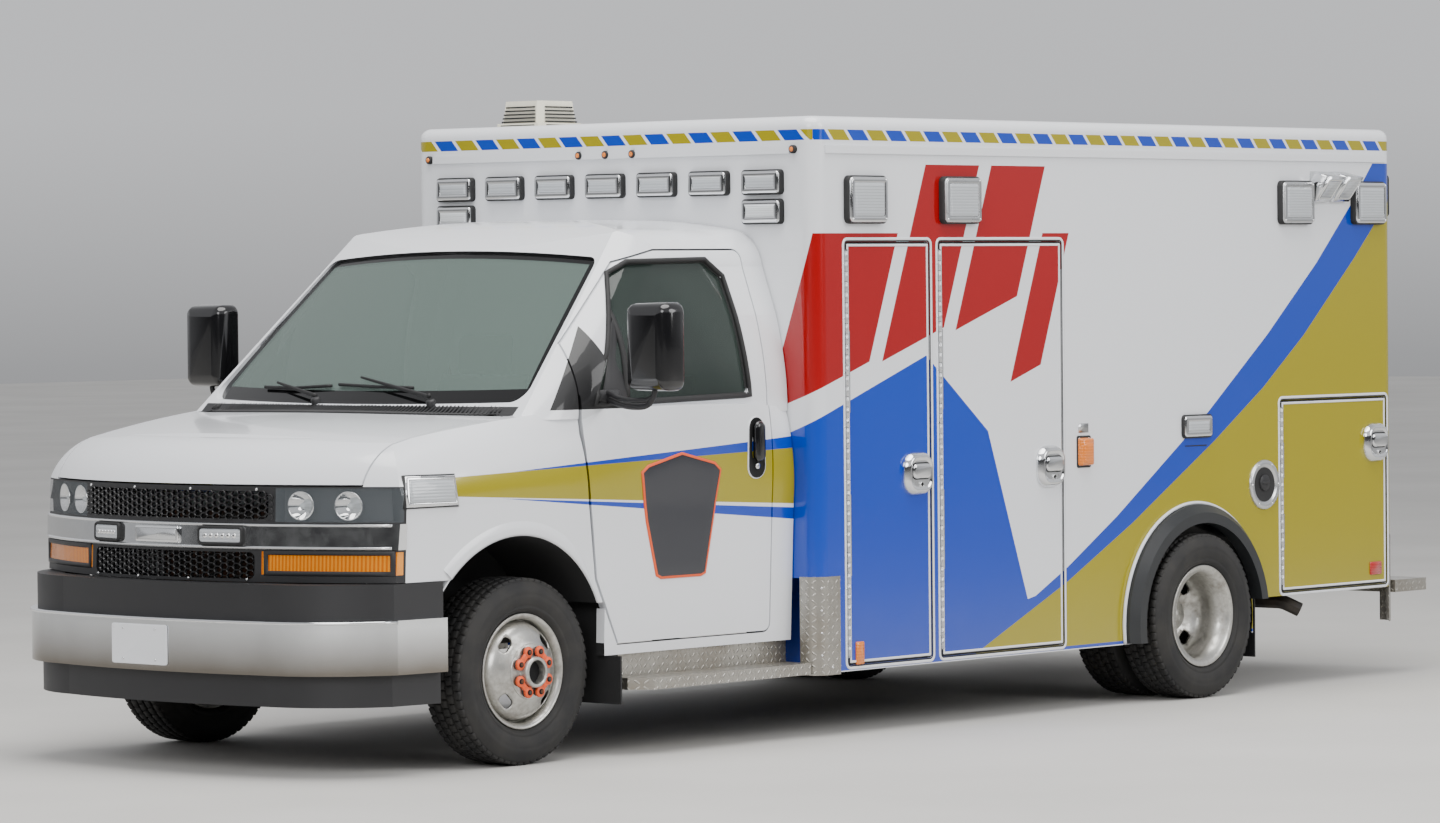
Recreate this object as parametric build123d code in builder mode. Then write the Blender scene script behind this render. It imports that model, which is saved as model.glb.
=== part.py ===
from build123d import *
from functools import cache
from math import cos, radians, sin
import os

# Box ambulance on a cutaway van chassis with twin rear wheels, in millimetres.
# +X is forward, +Y is the driver's side, +Z is up, and the ground is Z = 0.
# Places along the vehicle are written from the front axle and shifted by at().

os.makedirs("parts", exist_ok=True)

# Driving dimensions
wheelbase = 4039
front_overhang = 1055
rear_overhang = 1821
front_axle_x = (wheelbase + rear_overhang - front_overhang) / 2
rear_axle_x = front_axle_x - wheelbase

# Tyres and wheels
tyre_radius = 358
tyre_half_width = 112
tread_half_width = 90
axle_z = tyre_radius
bead_radius = 203
bead_half_width = 82
flange_radius = 221
flange_thickness = 9
rim_wall = 9
rim_offset = 127
disc_thickness = 9
hub_face_radius = 108
stud_circle_radius = 82.5
stud_count = 8
nut_radius = 15
nut_length = 24
hand_hole_count = 4
hand_hole_circle = 152
hand_hole_size = (58, 38)
hand_hole_corner = 11
disc_drop = 26
disc_seat = (8, 22)
disc_bore = 45
bead_rise = 4
wheel_sides = 36
front_wheel_y = 864
rear_hub_face_y = 961
front_hub_radius = 62
rear_hub_radius = 52
seat_gap = 0.3

# Knuckles and front suspension
kingpin_y = 775
kingpin_radius = 14
upper_arm_z = 470
lower_arm_z = 246
arm_eye_height = 36
arm_eye_radius = 30
upright_radius = 27
spindle_radius = 30
spindle_end_y = 985

# Frame
rail_y = 432
rail_height = 180
rail_flange = 70
rail_wall = 8
rail_bottom_z = 420
rail_front = 870
rail_rear = -5560
rail_top_z = rail_bottom_z + rail_height
cross_width = 90
cross_height = 60
cross_lift = 112
cross_stations = (820, -1250, -1900, -3000, -3700, -4700, -5500)

# Cab
cab_wall = 45
cab_back = -1525
cab_foot_z = 392
belt_z = 1330
nose_turn_x = -865
nose_front = 975
door_gap = 7
cab_floor_z = 640
floor_thickness = 40
firewall_x = -60
hood_edge_y = 850
hood_foot_z = 1084
hood_back_side = -20
hood_back_middle = 130
mask_back = 640
mask_foot_z = 727
fender_foot_z = 726
glass_depth = 12
glass_thickness = 6

# Patient module
module_front = cab_back - 5
module_rear = -5600
module_half = 1120
module_top_z = 2490
module_corner = 70
roof_round = 45
module_wall = 50
module_floor_z = 690
module_skirt_z = 258
rear_skirt_z = 408
rear_skirt_from = -4486
arch_x = -4055
arch_z = 335
arch_radius = 430
arch_inner_y = 650
locker_depth = 480
liner_wall = 12
leaf_thickness = 40
hinge_pin_radius = 6

# Wheel arch in the fender
fender_arch_x = 60
fender_arch_z = 385
fender_arch_radius = 490
fender_arch_inner_y = 560
fender_arch_foot_z = 600
liner_thickness = 8
bumper_clear_x = 452


def at(x):
    """Place along the vehicle, from the front axle."""
    return front_axle_x + x


def keep(piece, label):
    piece.part.label = label
    export_step(piece.part, "parts/" + label + ".step")


def cut_corner(width, height, cut):
    """Rectangle with its corners cut off."""
    with BuildSketch() as outline:
        Rectangle(width, height)
        chamfer(outline.vertices(), cut)
    return outline.sketch


def mirrored(piece):
    """The same piece on the other side of the vehicle."""
    with BuildPart() as other:
        add(mirror(piece.part, about=Plane.XZ))
    return other


def wheel_face(axle, y):
    """Plane across a wheel's axis, its first axis down, so that a polygon's corner is lowest."""
    return Plane(origin=(axle, y, axle_z), x_dir=(0, 0, -1), z_dir=(0, 1, 0))


def faceted_ring(axle, profile):
    """Ring of flat faces around a wheel's axis: its section's corners by radius and place across."""
    turns = [radians(360 / wheel_sides * i) for i in range(wheel_sides)]
    rings = [[Vector(axle + r * sin(turn), y, axle_z - r * cos(turn)) for r, y in profile] for turn in turns]
    faces = []
    for here, there in zip(rings, rings[1:] + rings[:1]):
        for k in range(len(profile)):
            faces.append(Face(Wire.make_polygon([here[k - 1], here[k], there[k], there[k - 1]])))
    return Solid(Shell(faces))


# Tyres: flat bands out to the tread
shoulder_drop = 14
shoulder_radius = tyre_radius - shoulder_drop
bulge_radius = 285
bead_lip = 2
wall_foot = 14


def tyres(axle, centres):
    seat = bead_radius + seat_gap
    lip = flange_radius + bead_lip
    half = [
        (seat, bead_half_width - bead_rise - seat_gap),
        (lip, bead_half_width - seat_gap),
        (lip + wall_foot, tyre_half_width - 8),
        (bulge_radius, tyre_half_width),
        (shoulder_radius, tread_half_width + 12),
        (tyre_radius, tread_half_width),
    ]
    with BuildPart() as rubber:
        for y in centres:
            add(faceted_ring(axle, [(r, y - w) for r, w in half] + [(r, y + w) for r, w in reversed(half)]))
    return rubber


def rim(axle, y, facing):
    """One steel rim with its dished disc, facing +1 when the disc bulges outboard."""
    edge = bead_half_width + flange_thickness
    seat = bead_half_width - bead_rise
    inner = bead_radius - rim_wall
    back = rim_offset - disc_thickness
    # columns: radius, distance across towards the side that the disc faces
    section = (
        (inner, -edge),
        (flange_radius, -edge),
        (flange_radius, -bead_half_width),
        (bead_radius, -seat),
        (bead_radius, seat),
        (flange_radius, bead_half_width),
        (flange_radius, edge),
        (inner, edge),
        (inner, disc_seat[1]),
        (hand_hole_circle, rim_offset - disc_drop),
        (hub_face_radius, rim_offset),
        (disc_bore, rim_offset),
        (disc_bore, back),
        (hub_face_radius - 6, back),
        (hand_hole_circle - 12, back - disc_drop - 6),
        (inner, disc_seat[0]),
    )
    with BuildPart() as steel:
        add(faceted_ring(axle, [(r, y + facing * w) for r, w in section[::facing]]))
        with BuildSketch(wheel_face(axle, y)):
            with PolarLocations(hand_hole_circle, hand_hole_count, start_angle=45):
                add(cut_corner(hand_hole_size[1], hand_hole_size[0], hand_hole_corner))
        extrude(amount=facing * rim_offset, mode=Mode.SUBTRACT)
    return steel


def nut_ring(axle, face):
    """Outline of the wheel nuts on the hub face."""
    with BuildSketch(wheel_face(axle, face)) as ring:
        with PolarLocations(stud_circle_radius, stud_count, start_angle=22.5):
            RegularPolygon(nut_radius, 6)
    return ring.sketch


# Front wheels turn on spindles, rear twin wheels on the axle ends
front_face_y = front_wheel_y + rim_offset
front_hub_inner_y = kingpin_y + 55
hub_plane = Plane(origin=(front_axle_x, front_hub_inner_y, axle_z), x_dir=(1, 0, 0), z_dir=(0, 1, 0))
with BuildPart() as front_wheel:
    add(rim(front_axle_x, front_wheel_y, 1).part)
    with BuildSketch(hub_plane):
        Circle(front_hub_radius)
    extrude(amount=front_face_y + 42 - front_hub_inner_y)
    extrude(nut_ring(front_axle_x, front_face_y), amount=nut_length)
    with BuildSketch(hub_plane):
        Circle(spindle_radius + seat_gap)
    extrude(amount=spindle_end_y + 2 - front_hub_inner_y, mode=Mode.SUBTRACT)
keep(front_wheel, "front_wheel_left")
keep(mirrored(front_wheel), "front_wheel_right")

front_tyre = tyres(front_axle_x, (front_wheel_y,))
keep(front_tyre, "front_tyre_left")
keep(mirrored(front_tyre), "front_tyre_right")

rear_outer_y = rear_hub_face_y + rim_offset
rear_inner_y = rear_hub_face_y - rim_offset
axle_end_radius = 40
axle_end_y = rear_hub_face_y + 60
rear_hub_outer_y = rear_hub_face_y + 95
with BuildPart() as rear_wheels:
    add(rim(rear_axle_x, rear_outer_y, -1).part)
    add(rim(rear_axle_x, rear_inner_y, 1).part)
    with BuildSketch(Plane(origin=(rear_axle_x, rear_inner_y, axle_z), x_dir=(1, 0, 0), z_dir=(0, 1, 0))):
        Circle(rear_hub_radius + 12)
    extrude(amount=rear_hub_outer_y - rear_inner_y)
    extrude(nut_ring(rear_axle_x, rear_hub_face_y + disc_thickness - 1), amount=nut_length)
    with BuildSketch(Plane(origin=(rear_axle_x, rear_inner_y, axle_z), x_dir=(1, 0, 0), z_dir=(0, 1, 0))):
        Circle(axle_end_radius + seat_gap)
    extrude(amount=axle_end_y + 2 - rear_inner_y, mode=Mode.SUBTRACT)
keep(rear_wheels, "rear_wheels_left")
keep(mirrored(rear_wheels), "rear_wheels_right")

rear_tyres = tyres(rear_axle_x, (rear_inner_y, rear_outer_y))
keep(rear_tyres, "rear_tyres_left")
keep(mirrored(rear_tyres), "rear_tyres_right")

# Steering knuckle: upright between two arm eyes, with the spindle outboard
eye_clear = 0.5
upright_top = upper_arm_z - arm_eye_height / 2 - eye_clear
upright_foot = lower_arm_z + arm_eye_height / 2 + eye_clear
with BuildPart() as knuckle:
    with BuildSketch(Plane.XY.offset(upright_foot)):
        with Locations((front_axle_x, kingpin_y)):
            Circle(upright_radius)
    extrude(amount=upright_top - upright_foot)
    with BuildSketch(Plane.XY.offset(lower_arm_z - arm_eye_height / 2)):
        with Locations((front_axle_x, kingpin_y)):
            Circle(kingpin_radius)
    extrude(amount=upper_arm_z - lower_arm_z + arm_eye_height)
    with BuildSketch(Plane(origin=(front_axle_x, kingpin_y, axle_z), x_dir=(1, 0, 0), z_dir=(0, 1, 0))):
        Circle(spindle_radius)
    extrude(amount=spindle_end_y - kingpin_y)
    with BuildSketch(Plane.XY.offset(lower_arm_z + 30)):
        with Locations((front_axle_x - 75, kingpin_y - 10)):
            Rectangle(150, 34)
    extrude(amount=26)
keep(knuckle, "knuckle_left")
keep(mirrored(knuckle), "knuckle_right")

# Front suspension: crossmember under the engine and two arms each side
cross_half = 400
arm_spread = 150
with BuildPart() as front_suspension:
    for arm_z, thickness, arm_root_y in ((upper_arm_z, 26, rail_y + seat_gap), (lower_arm_z, 32, cross_half)):
        for side in (1, -1):
            with BuildSketch(Plane.XY.offset(arm_z - thickness / 2)):
                with BuildLine():
                    Polyline(
                        (front_axle_x - arm_spread, side * arm_root_y),
                        (front_axle_x - arm_eye_radius + 6, side * kingpin_y),
                        (front_axle_x + arm_eye_radius - 6, side * kingpin_y),
                        (front_axle_x + arm_spread, side * arm_root_y),
                        (front_axle_x + arm_spread - 60, side * arm_root_y),
                        (front_axle_x, side * (kingpin_y - 90)),
                        (front_axle_x - arm_spread + 60, side * arm_root_y),
                        close=True,
                    )
                make_face()
            extrude(amount=thickness)
            with BuildSketch(Plane.XY.offset(arm_z - arm_eye_height / 2)):
                with Locations((front_axle_x, side * kingpin_y)):
                    Circle(arm_eye_radius)
            extrude(amount=arm_eye_height)
    with BuildSketch(Plane.XZ.offset(-cross_half)):
        with Locations((front_axle_x, (lower_arm_z + rail_bottom_z - 34) / 2)):
            Rectangle(2 * arm_spread, rail_bottom_z - lower_arm_z)
        with Locations((front_axle_x, rail_bottom_z - 20)):
            Rectangle(2 * arm_spread, 40 - 2 * seat_gap)
    extrude(amount=2 * cross_half)
    for side in (1, -1):
        with BuildSketch(Plane.XY.offset(upper_arm_z - 20)):
            with Locations((front_axle_x, side * (rail_y + 12))):
                Rectangle(2 * arm_spread, 24 - seat_gap)
        extrude(amount=40)
        with BuildSketch(Plane.XY.offset(lower_arm_z - arm_eye_height)):
            with Locations((front_axle_x, side * kingpin_y)):
                Circle(kingpin_radius + seat_gap)
        extrude(amount=upper_arm_z - lower_arm_z + 2 * arm_eye_height, mode=Mode.SUBTRACT)
keep(front_suspension, "front_suspension")

# Ladder frame: two channel rails and crossmembers
rail_length = rail_front - rail_rear
with BuildPart() as chassis_frame:
    for side in (1, -1):
        with BuildSketch(Plane.YZ.offset(at(rail_rear))):
            with Locations((side * (rail_y - rail_flange / 2), rail_bottom_z + rail_height / 2)):
                Rectangle(rail_flange, rail_height)
            with Locations((side * (rail_y - rail_flange / 2 - rail_wall), rail_bottom_z + rail_height / 2)):
                Rectangle(rail_flange, rail_height - 2 * rail_wall, mode=Mode.SUBTRACT)
        extrude(amount=rail_length)
    for station in cross_stations:
        with BuildSketch(Plane.XY.offset(rail_bottom_z + cross_lift)):
            with Locations((at(station), 0)):
                Rectangle(cross_width, 2 * (rail_y - rail_wall / 2))
        extrude(amount=cross_height)
keep(chassis_frame, "chassis_frame")

# Engine as one plain block with its gearbox
engine_length = 700
engine_rear = 0
gearbox_length = 750
gearbox_radius = 88
gearbox_sides = 12
gearbox_z = 508
engine_half = 280
engine_foot_z = 515
engine_height = 460
mount_span = (300, 380)
mount_height = 44
with BuildPart() as engine_block:
    with BuildSketch(Plane.XY.offset(engine_foot_z)):
        with Locations((at(engine_rear + engine_length / 2), 0)):
            Rectangle(engine_length, 2 * engine_half)
    extrude(amount=engine_height)
    with BuildSketch(Plane.XY.offset(engine_foot_z)):
        with Locations((at(sum(mount_span) / 2), 0)):
            Rectangle(mount_span[1] - mount_span[0], 2 * (rail_y - rail_wall - seat_gap))
    extrude(amount=mount_height)
    with BuildSketch(Plane.YZ.offset(at(engine_rear))):
        with Locations((0, gearbox_z)):
            RegularPolygon(gearbox_radius, gearbox_sides)
    extrude(amount=-gearbox_length, taper=3)
keep(engine_block, "engine_block")

# Rear axle with leaf springs and propeller shaft
axle_tube_radius = 46
differential_radius = 150
differential_bevel = 45
spring_y = 540
spring_width = 64
spring_thickness = 56
spring_half = 720
spring_drop = 30
spring_tip = 22
shaft_radius = 38
with BuildPart() as rear_axle:
    with BuildSketch(Plane.XZ.offset(-(rear_inner_y - 60))):
        with Locations((rear_axle_x, axle_z)):
            Circle(axle_tube_radius)
    extrude(amount=2 * (rear_inner_y - 60))
    with BuildSketch(Plane.XZ.offset(-axle_end_y)):
        with Locations((rear_axle_x, axle_z)):
            Circle(axle_end_radius)
    extrude(amount=2 * axle_end_y)
    with BuildSketch(Plane.XZ.offset(-120)):
        with Locations((rear_axle_x, axle_z)):
            Circle(differential_radius)
    extrude(amount=240)
    circles = rear_axle.edges().filter_by(GeomType.CIRCLE)
    chamfer(circles.filter_by(lambda e: e.radius > differential_radius - 1), differential_bevel)
    foot = axle_z + axle_tube_radius
    ahead = rear_axle_x + spring_half
    behind = rear_axle_x - spring_half
    tip_low = foot + spring_drop
    tip_high = tip_low + spring_tip
    for side in (1, -1):
        with BuildSketch(Plane.XZ.offset(-side * spring_y)):
            with BuildLine():
                ThreePointArc((behind, tip_low), (rear_axle_x, foot - 6), (ahead, tip_low))
                Line((ahead, tip_low), (ahead, tip_high))
                ThreePointArc((ahead, tip_high), (rear_axle_x, foot + spring_thickness), (behind, tip_high))
                Line((behind, tip_high), (behind, tip_low))
            make_face()
        extrude(amount=spring_width / 2, both=True)
        for end in (1, -1):
            hanger_x = rear_axle_x + end * (spring_half - 30)
            with BuildSketch(Plane.XY.offset(foot + spring_drop)):
                with Locations((hanger_x, side * (rail_y + (spring_y - rail_y + spring_width / 2) / 2))):
                    Rectangle(60, spring_y - rail_y + spring_width / 2 - 2 * seat_gap)
            extrude(amount=70)
    shaft_from = Vector(rear_axle_x, 0, axle_z + 10)
    shaft_to = Vector(at(engine_rear - gearbox_length) - seat_gap, 0, gearbox_z)
    with BuildSketch(Plane(origin=shaft_from, x_dir=(0, 1, 0), z_dir=shaft_to - shaft_from)):
        Circle(shaft_radius)
    extrude(amount=(shaft_to - shaft_from).length - 2)
keep(rear_axle, "rear_axle")

# Fuel tank hung between the rails behind the axle
tank_x = -5130
tank_length = 640
tank_depth = 170
tank_clear = 20
with BuildPart() as fuel_tank:
    with BuildSketch(Plane.XY.offset(rail_bottom_z - 100)):
        with Locations((at(tank_x), 0)):
            RectangleRounded(tank_length, 2 * (rail_y - rail_flange - tank_clear), 60)
    extrude(amount=tank_depth)
    with BuildSketch(Plane.XY.offset(rail_bottom_z + 40)):
        with Locations((at(tank_x), 0)):
            Rectangle(60, 2 * (rail_y - rail_wall) - 2 * seat_gap)
    extrude(amount=24)
keep(fuel_tank, "fuel_tank")

# Exhaust: silencer, pipe over the axle and a turned down tip behind the left wheel
pipe_radius = 32
pipe_sides = 8
pipe_route = [
    (at(-2000), 250, 478), (at(-3500), 250, 480), (at(-4450), 250, 478),
    (at(-4640), 252, 374), (at(-4860), 540, 370), (at(-4900), 985, 368), (at(-4950), 1045, 330),
]
pipe_bends = (900, 150, 140, 150, 60)
hanger_stations = (-3000, -3700)
with BuildPart() as exhaust:
    with BuildLine() as pipe_line:
        FilletPolyline(*pipe_route, radius=pipe_bends)
    with BuildSketch(Plane(origin=pipe_route[0], z_dir=(pipe_line.line % 0))):
        RegularPolygon(pipe_radius, pipe_sides)
    sweep()
    with BuildSketch(Plane.YZ.offset(at(-2900))):
        with Locations((250, 479)):
            Ellipse(100, 60)
    extrude(amount=620)
    for station in hanger_stations:
        with BuildSketch(Plane.XY.offset(pipe_route[0][2])):
            with Locations((at(station), pipe_route[0][1])):
                Rectangle(24, 30)
        extrude(amount=rail_bottom_z + cross_lift - seat_gap - pipe_route[0][2])
keep(exhaust, "exhaust")

# Cab body. Lower body: stations across the vehicle, from the cab back to the nose
# columns: place, crown height, shoulder y and z, side y and z
lower_stations = (
    (cab_back, belt_z + 4, 965, belt_z - 6, 1005, 950),
    (-140, 1352, 938, 1334, 1002, 1000),
    (480, 1300, 850, 1258, 990, 1000),
    (1020, 1210, 800, 1150, 930, 950),
)
foot_tuck = 22
# Nose profile turned about an upright axis: distance ahead of the front axle and height
hood_crest = (190, 1345)
hood_bend = (557, 1302)
hood_fall = (734, 1258)
hood_roll = (894, 1178)
hood_lip = (950, 1085)


@cache
def lower_form(inset, foot):
    with BuildPart() as form:
        for x, crown, shoulder_y, shoulder_z, side_y, side_z in lower_stations:
            with BuildSketch(Plane.YZ.offset(at(x))):
                with BuildLine():
                    y1, z1 = shoulder_y - 0.7 * inset, shoulder_z - 0.8 * inset
                    y2, z2 = side_y - inset, side_z
                    top = crown - inset
                    ThreePointArc((0, top), (y1 / 2, (3 * top + z1) / 4), (y1, z1))
                    ThreePointArc((y1, z1), (y1 + 0.7 * (y2 - y1), z2 + 0.7 * (z1 - z2)), (y2, z2))
                    Line((y2, z2), (y2 - foot_tuck, foot))
                    Line((y2 - foot_tuck, foot), (0, foot))
                    mirror(about=Plane.YZ)
                make_face()
        loft()
        with BuildSketch(Plane(origin=(at(nose_turn_x), 0, 0), x_dir=(1, 0, 0), z_dir=(0, -1, 0))):
            with BuildLine():
                reach = nose_front - nose_turn_x - inset
                heights = (hood_crest, hood_bend, hood_fall)
                points = [(x - nose_turn_x - inset * 0.3, z - inset) for x, z in heights]
                roll = (hood_roll[0] - nose_turn_x - 0.7 * inset, hood_roll[1] - 0.7 * inset)
                lip = (hood_lip[0] - nose_turn_x - inset, hood_lip[1])
                Line((0, 1500), (0, foot - 1))
                Line((0, foot - 1), (reach, foot - 1))
                Line((reach, foot - 1), lip)
                ThreePointArc(lip, roll, points[2])
                ThreePointArc(points[2], points[1], points[0])
                Line(points[0], (points[0][0] - 200, points[0][1] + 20))
                Line((points[0][0] - 200, points[0][1] + 20), (points[0][0] - 400, 1500))
                Line((points[0][0] - 400, 1500), (0, 1500))
            make_face()
        revolve(axis=Axis((at(nose_turn_x), 0, 0), (0, 0, 1)), mode=Mode.INTERSECT)
    return form.part


# Upper body: level outlines from the belt to above the roof
# columns: height, front middle, windscreen corner x and y, side start x, side y
upper_levels = (
    (belt_z - 20, 66, -37, 910, -310, 976),
    (1660, -306, -398, 822, -720, 930),
    (1940, -604, -687, 748, -1000, 838),
    (2110, -785, -860, 702, -1150, 770),
)
roof_front = (-600, 1945)
roof_crest = (-1126, 2084)
roof_back = (cab_back, 2078)
roof_edge = (705, 2040)
roof_turn = (800, 1990)
roof_side = (850, 1890)


def upper_form(inset, back):
    with BuildPart() as form:
        for level, middle, corner_x, corner_y, side_x, side_y in upper_levels:
            drop = 2 * inset if level < belt_z else 0
            with BuildSketch(Plane.XY.offset(level - drop)):
                with BuildLine():
                    x0, x1, x2 = at(middle) - inset * 1.3, at(corner_x) - inset * 1.3, at(side_x) - inset
                    y1, y2 = corner_y - inset * 0.8, side_y - inset
                    bend = (x1 + 0.35 * (x2 - x1), y1 + 0.62 * (y2 - y1))
                    ThreePointArc((x0, 0), (x0 + 0.25 * (x1 - x0), y1 / 2), (x1, y1))
                    ThreePointArc((x1, y1), bend, (x2, y2))
                    Line((x2, y2), (at(back), y2))
                    Line((at(back), y2), (at(back), 0))
                    mirror(about=Plane.XZ)
                make_face()
        loft()
        with BuildSketch(Plane.XZ):
            with BuildLine():
                crest = (at(roof_crest[0]), roof_crest[1] - inset)
                tail = (at(roof_back[0]) - 200, roof_back[1] - inset)
                head = (at(roof_front[0]), roof_front[1] - inset)
                ThreePointArc(head, (at(-760), 2022 - inset), crest)
                Line(crest, tail)
                Line(tail, (tail[0], 1200))
                Line((tail[0], 1200), (at(300), 1200))
                Line((at(300), 1200), (at(300), head[1] - 200))
                Line((at(300), head[1] - 200), head)
            make_face()
        extrude(amount=1200, both=True, mode=Mode.INTERSECT)
        with BuildSketch(Plane.YZ.offset(at(-1900))):
            with BuildLine():
                edge = (roof_edge[0] - inset * 0.6, roof_edge[1] - inset)
                turn = (roof_turn[0] - inset * 0.7, roof_turn[1] - inset * 0.7)
                low = (roof_side[0] - inset, roof_side[1])
                crest_z = roof_crest[1] + 8 - inset
                ThreePointArc((0, crest_z), (edge[0] / 2, (3 * crest_z + edge[1]) / 4), edge)
                ThreePointArc(edge, turn, low)
                Line(low, (1100 - inset, 1200))
                Line((1100 - inset, 1200), (0, 1200))
                mirror(about=Plane.YZ)
            make_face()
        extrude(amount=2600, mode=Mode.INTERSECT)
    return form.part


@cache
def cab_form(inset):
    """Solid outline of the cab, drawn in from the skin by inset."""
    back = cab_back if inset == 0 else cab_back - 60
    foot = cab_foot_z if inset == 0 else cab_foot_z - 120
    with BuildPart() as form:
        add(lower_form(inset, foot))
        add(upper_form(inset, back))
    return form.part


def skin(outer, inner):
    """Wall of the cab between two depths below its surface."""
    with BuildPart() as wall:
        add(cab_form(outer))
        add(cab_form(inner), mode=Mode.SUBTRACT)
    return wall.part


def nose_skin(outer, inner):
    """The same wall, of the lower body alone."""
    with BuildPart() as wall:
        add(lower_form(outer, cab_foot_z))
        add(lower_form(inner, cab_foot_z - 120), mode=Mode.SUBTRACT)
    return wall.part


cab_skin = skin(0, cab_wall)
glass_skin = skin(glass_depth, glass_depth + glass_thickness)
side_reach = 1200
nose_reach = 1200

# Outlines cut through the skin. Each takes the gap by which a moving panel is smaller
# Cab door, seen from the side, from the lower front corner round by the rear
door_foot_z = 430
door_front = (-290, 1250)
door_arch = (-370, 690)
door_toe = (-505, 430)
door_elbow = (-335, 1600)
door_crown = (-700, 1915)
door_roof_z = 1962
door_back = -1405
window_points = ((-395, 1368), (-660, 1862), (-760, 1905), (-1180, 1912), (-1258, 1850), (-1290, 1384))


def door_outline(gap):
    with BuildSketch(Plane.XZ) as outline:
        with BuildLine():
            Polyline(
                (at(door_toe[0]), door_foot_z), (at(door_back), door_foot_z), (at(door_back), door_roof_z),
                (at(-900), door_roof_z), (at(door_crown[0]), door_crown[1]),
                (at(door_elbow[0]), door_elbow[1]), (at(door_front[0]), door_front[1]),
                (at(door_arch[0]), door_arch[1]), close=True,
            )
        make_face()
        corners = outline.vertices().sort_by(Axis.X)[0:2]
        fillet(corners, 40)
        if gap:
            offset(amount=-gap, kind=Kind.INTERSECTION)
    return outline.sketch


def window_outline(gap):
    with BuildSketch(Plane.XZ) as outline:
        with BuildLine():
            Polyline(*[(at(x), z) for x, z in window_points], close=True)
        make_face()
        fillet(outline.vertices(), 26)
        if gap:
            offset(amount=-gap, kind=Kind.INTERSECTION)
    return outline.sketch


screen_gap = 8


def screen_outline(gap=0):
    with BuildSketch(Plane.YZ.offset(at(-705))) as outline:
        with BuildLine():
            ThreePointArc((-872, 1378), (0, 1366), (872, 1378))
            Line((872, 1378), (738, 1930))
            ThreePointArc((738, 1930), (0, 1962), (-738, 1930))
            Line((-738, 1930), (-872, 1378))
        make_face()
        fillet(outline.vertices(), 50)
        if gap:
            offset(amount=gap)
    return outline.sketch


def hood_outline(gap):
    with BuildSketch(Plane.XY.offset(hood_foot_z + gap)) as outline:
        with BuildLine():
            ThreePointArc(
                (at(hood_back_side), -hood_edge_y), (at(hood_back_middle), 0),
                (at(hood_back_side), hood_edge_y),
            )
            Polyline(
                (at(hood_back_side), hood_edge_y), (at(1100), hood_edge_y),
                (at(1100), -hood_edge_y), (at(hood_back_side), -hood_edge_y),
            )
        make_face()
        if gap:
            offset(amount=-gap, kind=Kind.INTERSECTION)
    return outline.sketch


# Hood, cut from the skin above the lamps, on two goosenecks that swing out under the cowl
hood_height = 400
hood_pin_x = -60
hood_pin_z = 1318
hood_arm_y = 780
hood_arm_width = 14
hood_pocket_half = 24
hood_arm_points = ((0, 0), (37, -60), (72, -52), (106, -20))
arm_thickness = 12
eye_radius = 9
pin_clear = 0.1


def hood_hinge_pocket(side):
    """Space under the cowl that a gooseneck needs."""
    with BuildPart() as pocket:
        with Locations((at(hood_pin_x + 37), side * hood_arm_y, hood_pin_z - 32)):
            Box(106, 2 * hood_pocket_half, 92)
    return pocket.part


def arm_line(points, plane, turn):
    """Centre line of a gooseneck on its plane, its second axis turned over by turn."""
    with BuildLine(plane) as line:
        Polyline(*[(x, turn * y) for x, y in points])
    return line.line


with BuildPart() as hood:
    add(cab_skin)
    extrude(hood_outline(door_gap), amount=hood_height, mode=Mode.INTERSECT)
    for side in (1, -1):
        spot = (at(hood_pin_x), side * hood_arm_y, hood_pin_z)
        with BuildSketch(Plane(origin=spot, x_dir=(1, 0, 0), z_dir=(0, -1, 0))):
            trace(arm_line(hood_arm_points, Plane.XY, 1), line_width=arm_thickness)
            Circle(eye_radius)
            Circle(hinge_pin_radius + pin_clear, mode=Mode.SUBTRACT)
        extrude(amount=hood_arm_width / 2, both=True)
keep(hood, "hood")

# Cab doors with their window openings, and the glass in them. Two goosenecks a side reach the pins
# columns: foot, head, centre line from the pin, rearwards and inwards
cab_hinge_x = -240
cab_hinge_y = 945
cab_hinge_pin = 7
cab_hinge_eye = 14
cab_hinge_room = 5.5
cab_hinges = (
    (830, 866, ((0, 0), (-52, -106), (-111, -82), (-137, 24))),
    (1130, 1166, ((0, 0), (-25, -72), (-97, -48), (-113, 18))),
)
cab_hinge_pocket = (150, 26, 6)
# columns: height, radius about the hinge axis that the door's front edge keeps clear of the shell's edge
door_edge_clear = ((425, 280), (690, 150), (1250, 85.5), (1400, 84))


def hinge_block(side, foot, head, radius):
    """Round stock on a cab door's hinge axis."""
    with BuildPart() as stock:
        with BuildSketch(Plane.XY.offset(foot)):
            with Locations((at(cab_hinge_x), side * cab_hinge_y)):
                Circle(radius)
        extrude(amount=head - foot)
    return stock.part


def hinge_pocket(side, foot, head):
    """Space behind a cab door's hinge pin that the turned gooseneck lies in."""
    reach, depth, spare = cab_hinge_pocket
    with BuildPart() as pocket:
        with Locations((at(cab_hinge_x - reach / 2), side * (cab_hinge_y + depth / 2), (foot + head) / 2)):
            Box(reach, depth, head - foot + 2 * spare)
    return pocket.part


def edge_relief(side):
    """Turned form about the hinge axis that a cab door's front edge stays outside of."""
    with BuildPart() as relief:
        for lower, upper in zip(door_edge_clear, door_edge_clear[1:]):
            with Locations((at(cab_hinge_x), side * cab_hinge_y, (lower[0] + upper[0]) / 2)):
                Cone(lower[1], upper[1], upper[0] - lower[0])
    return relief.part


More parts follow.
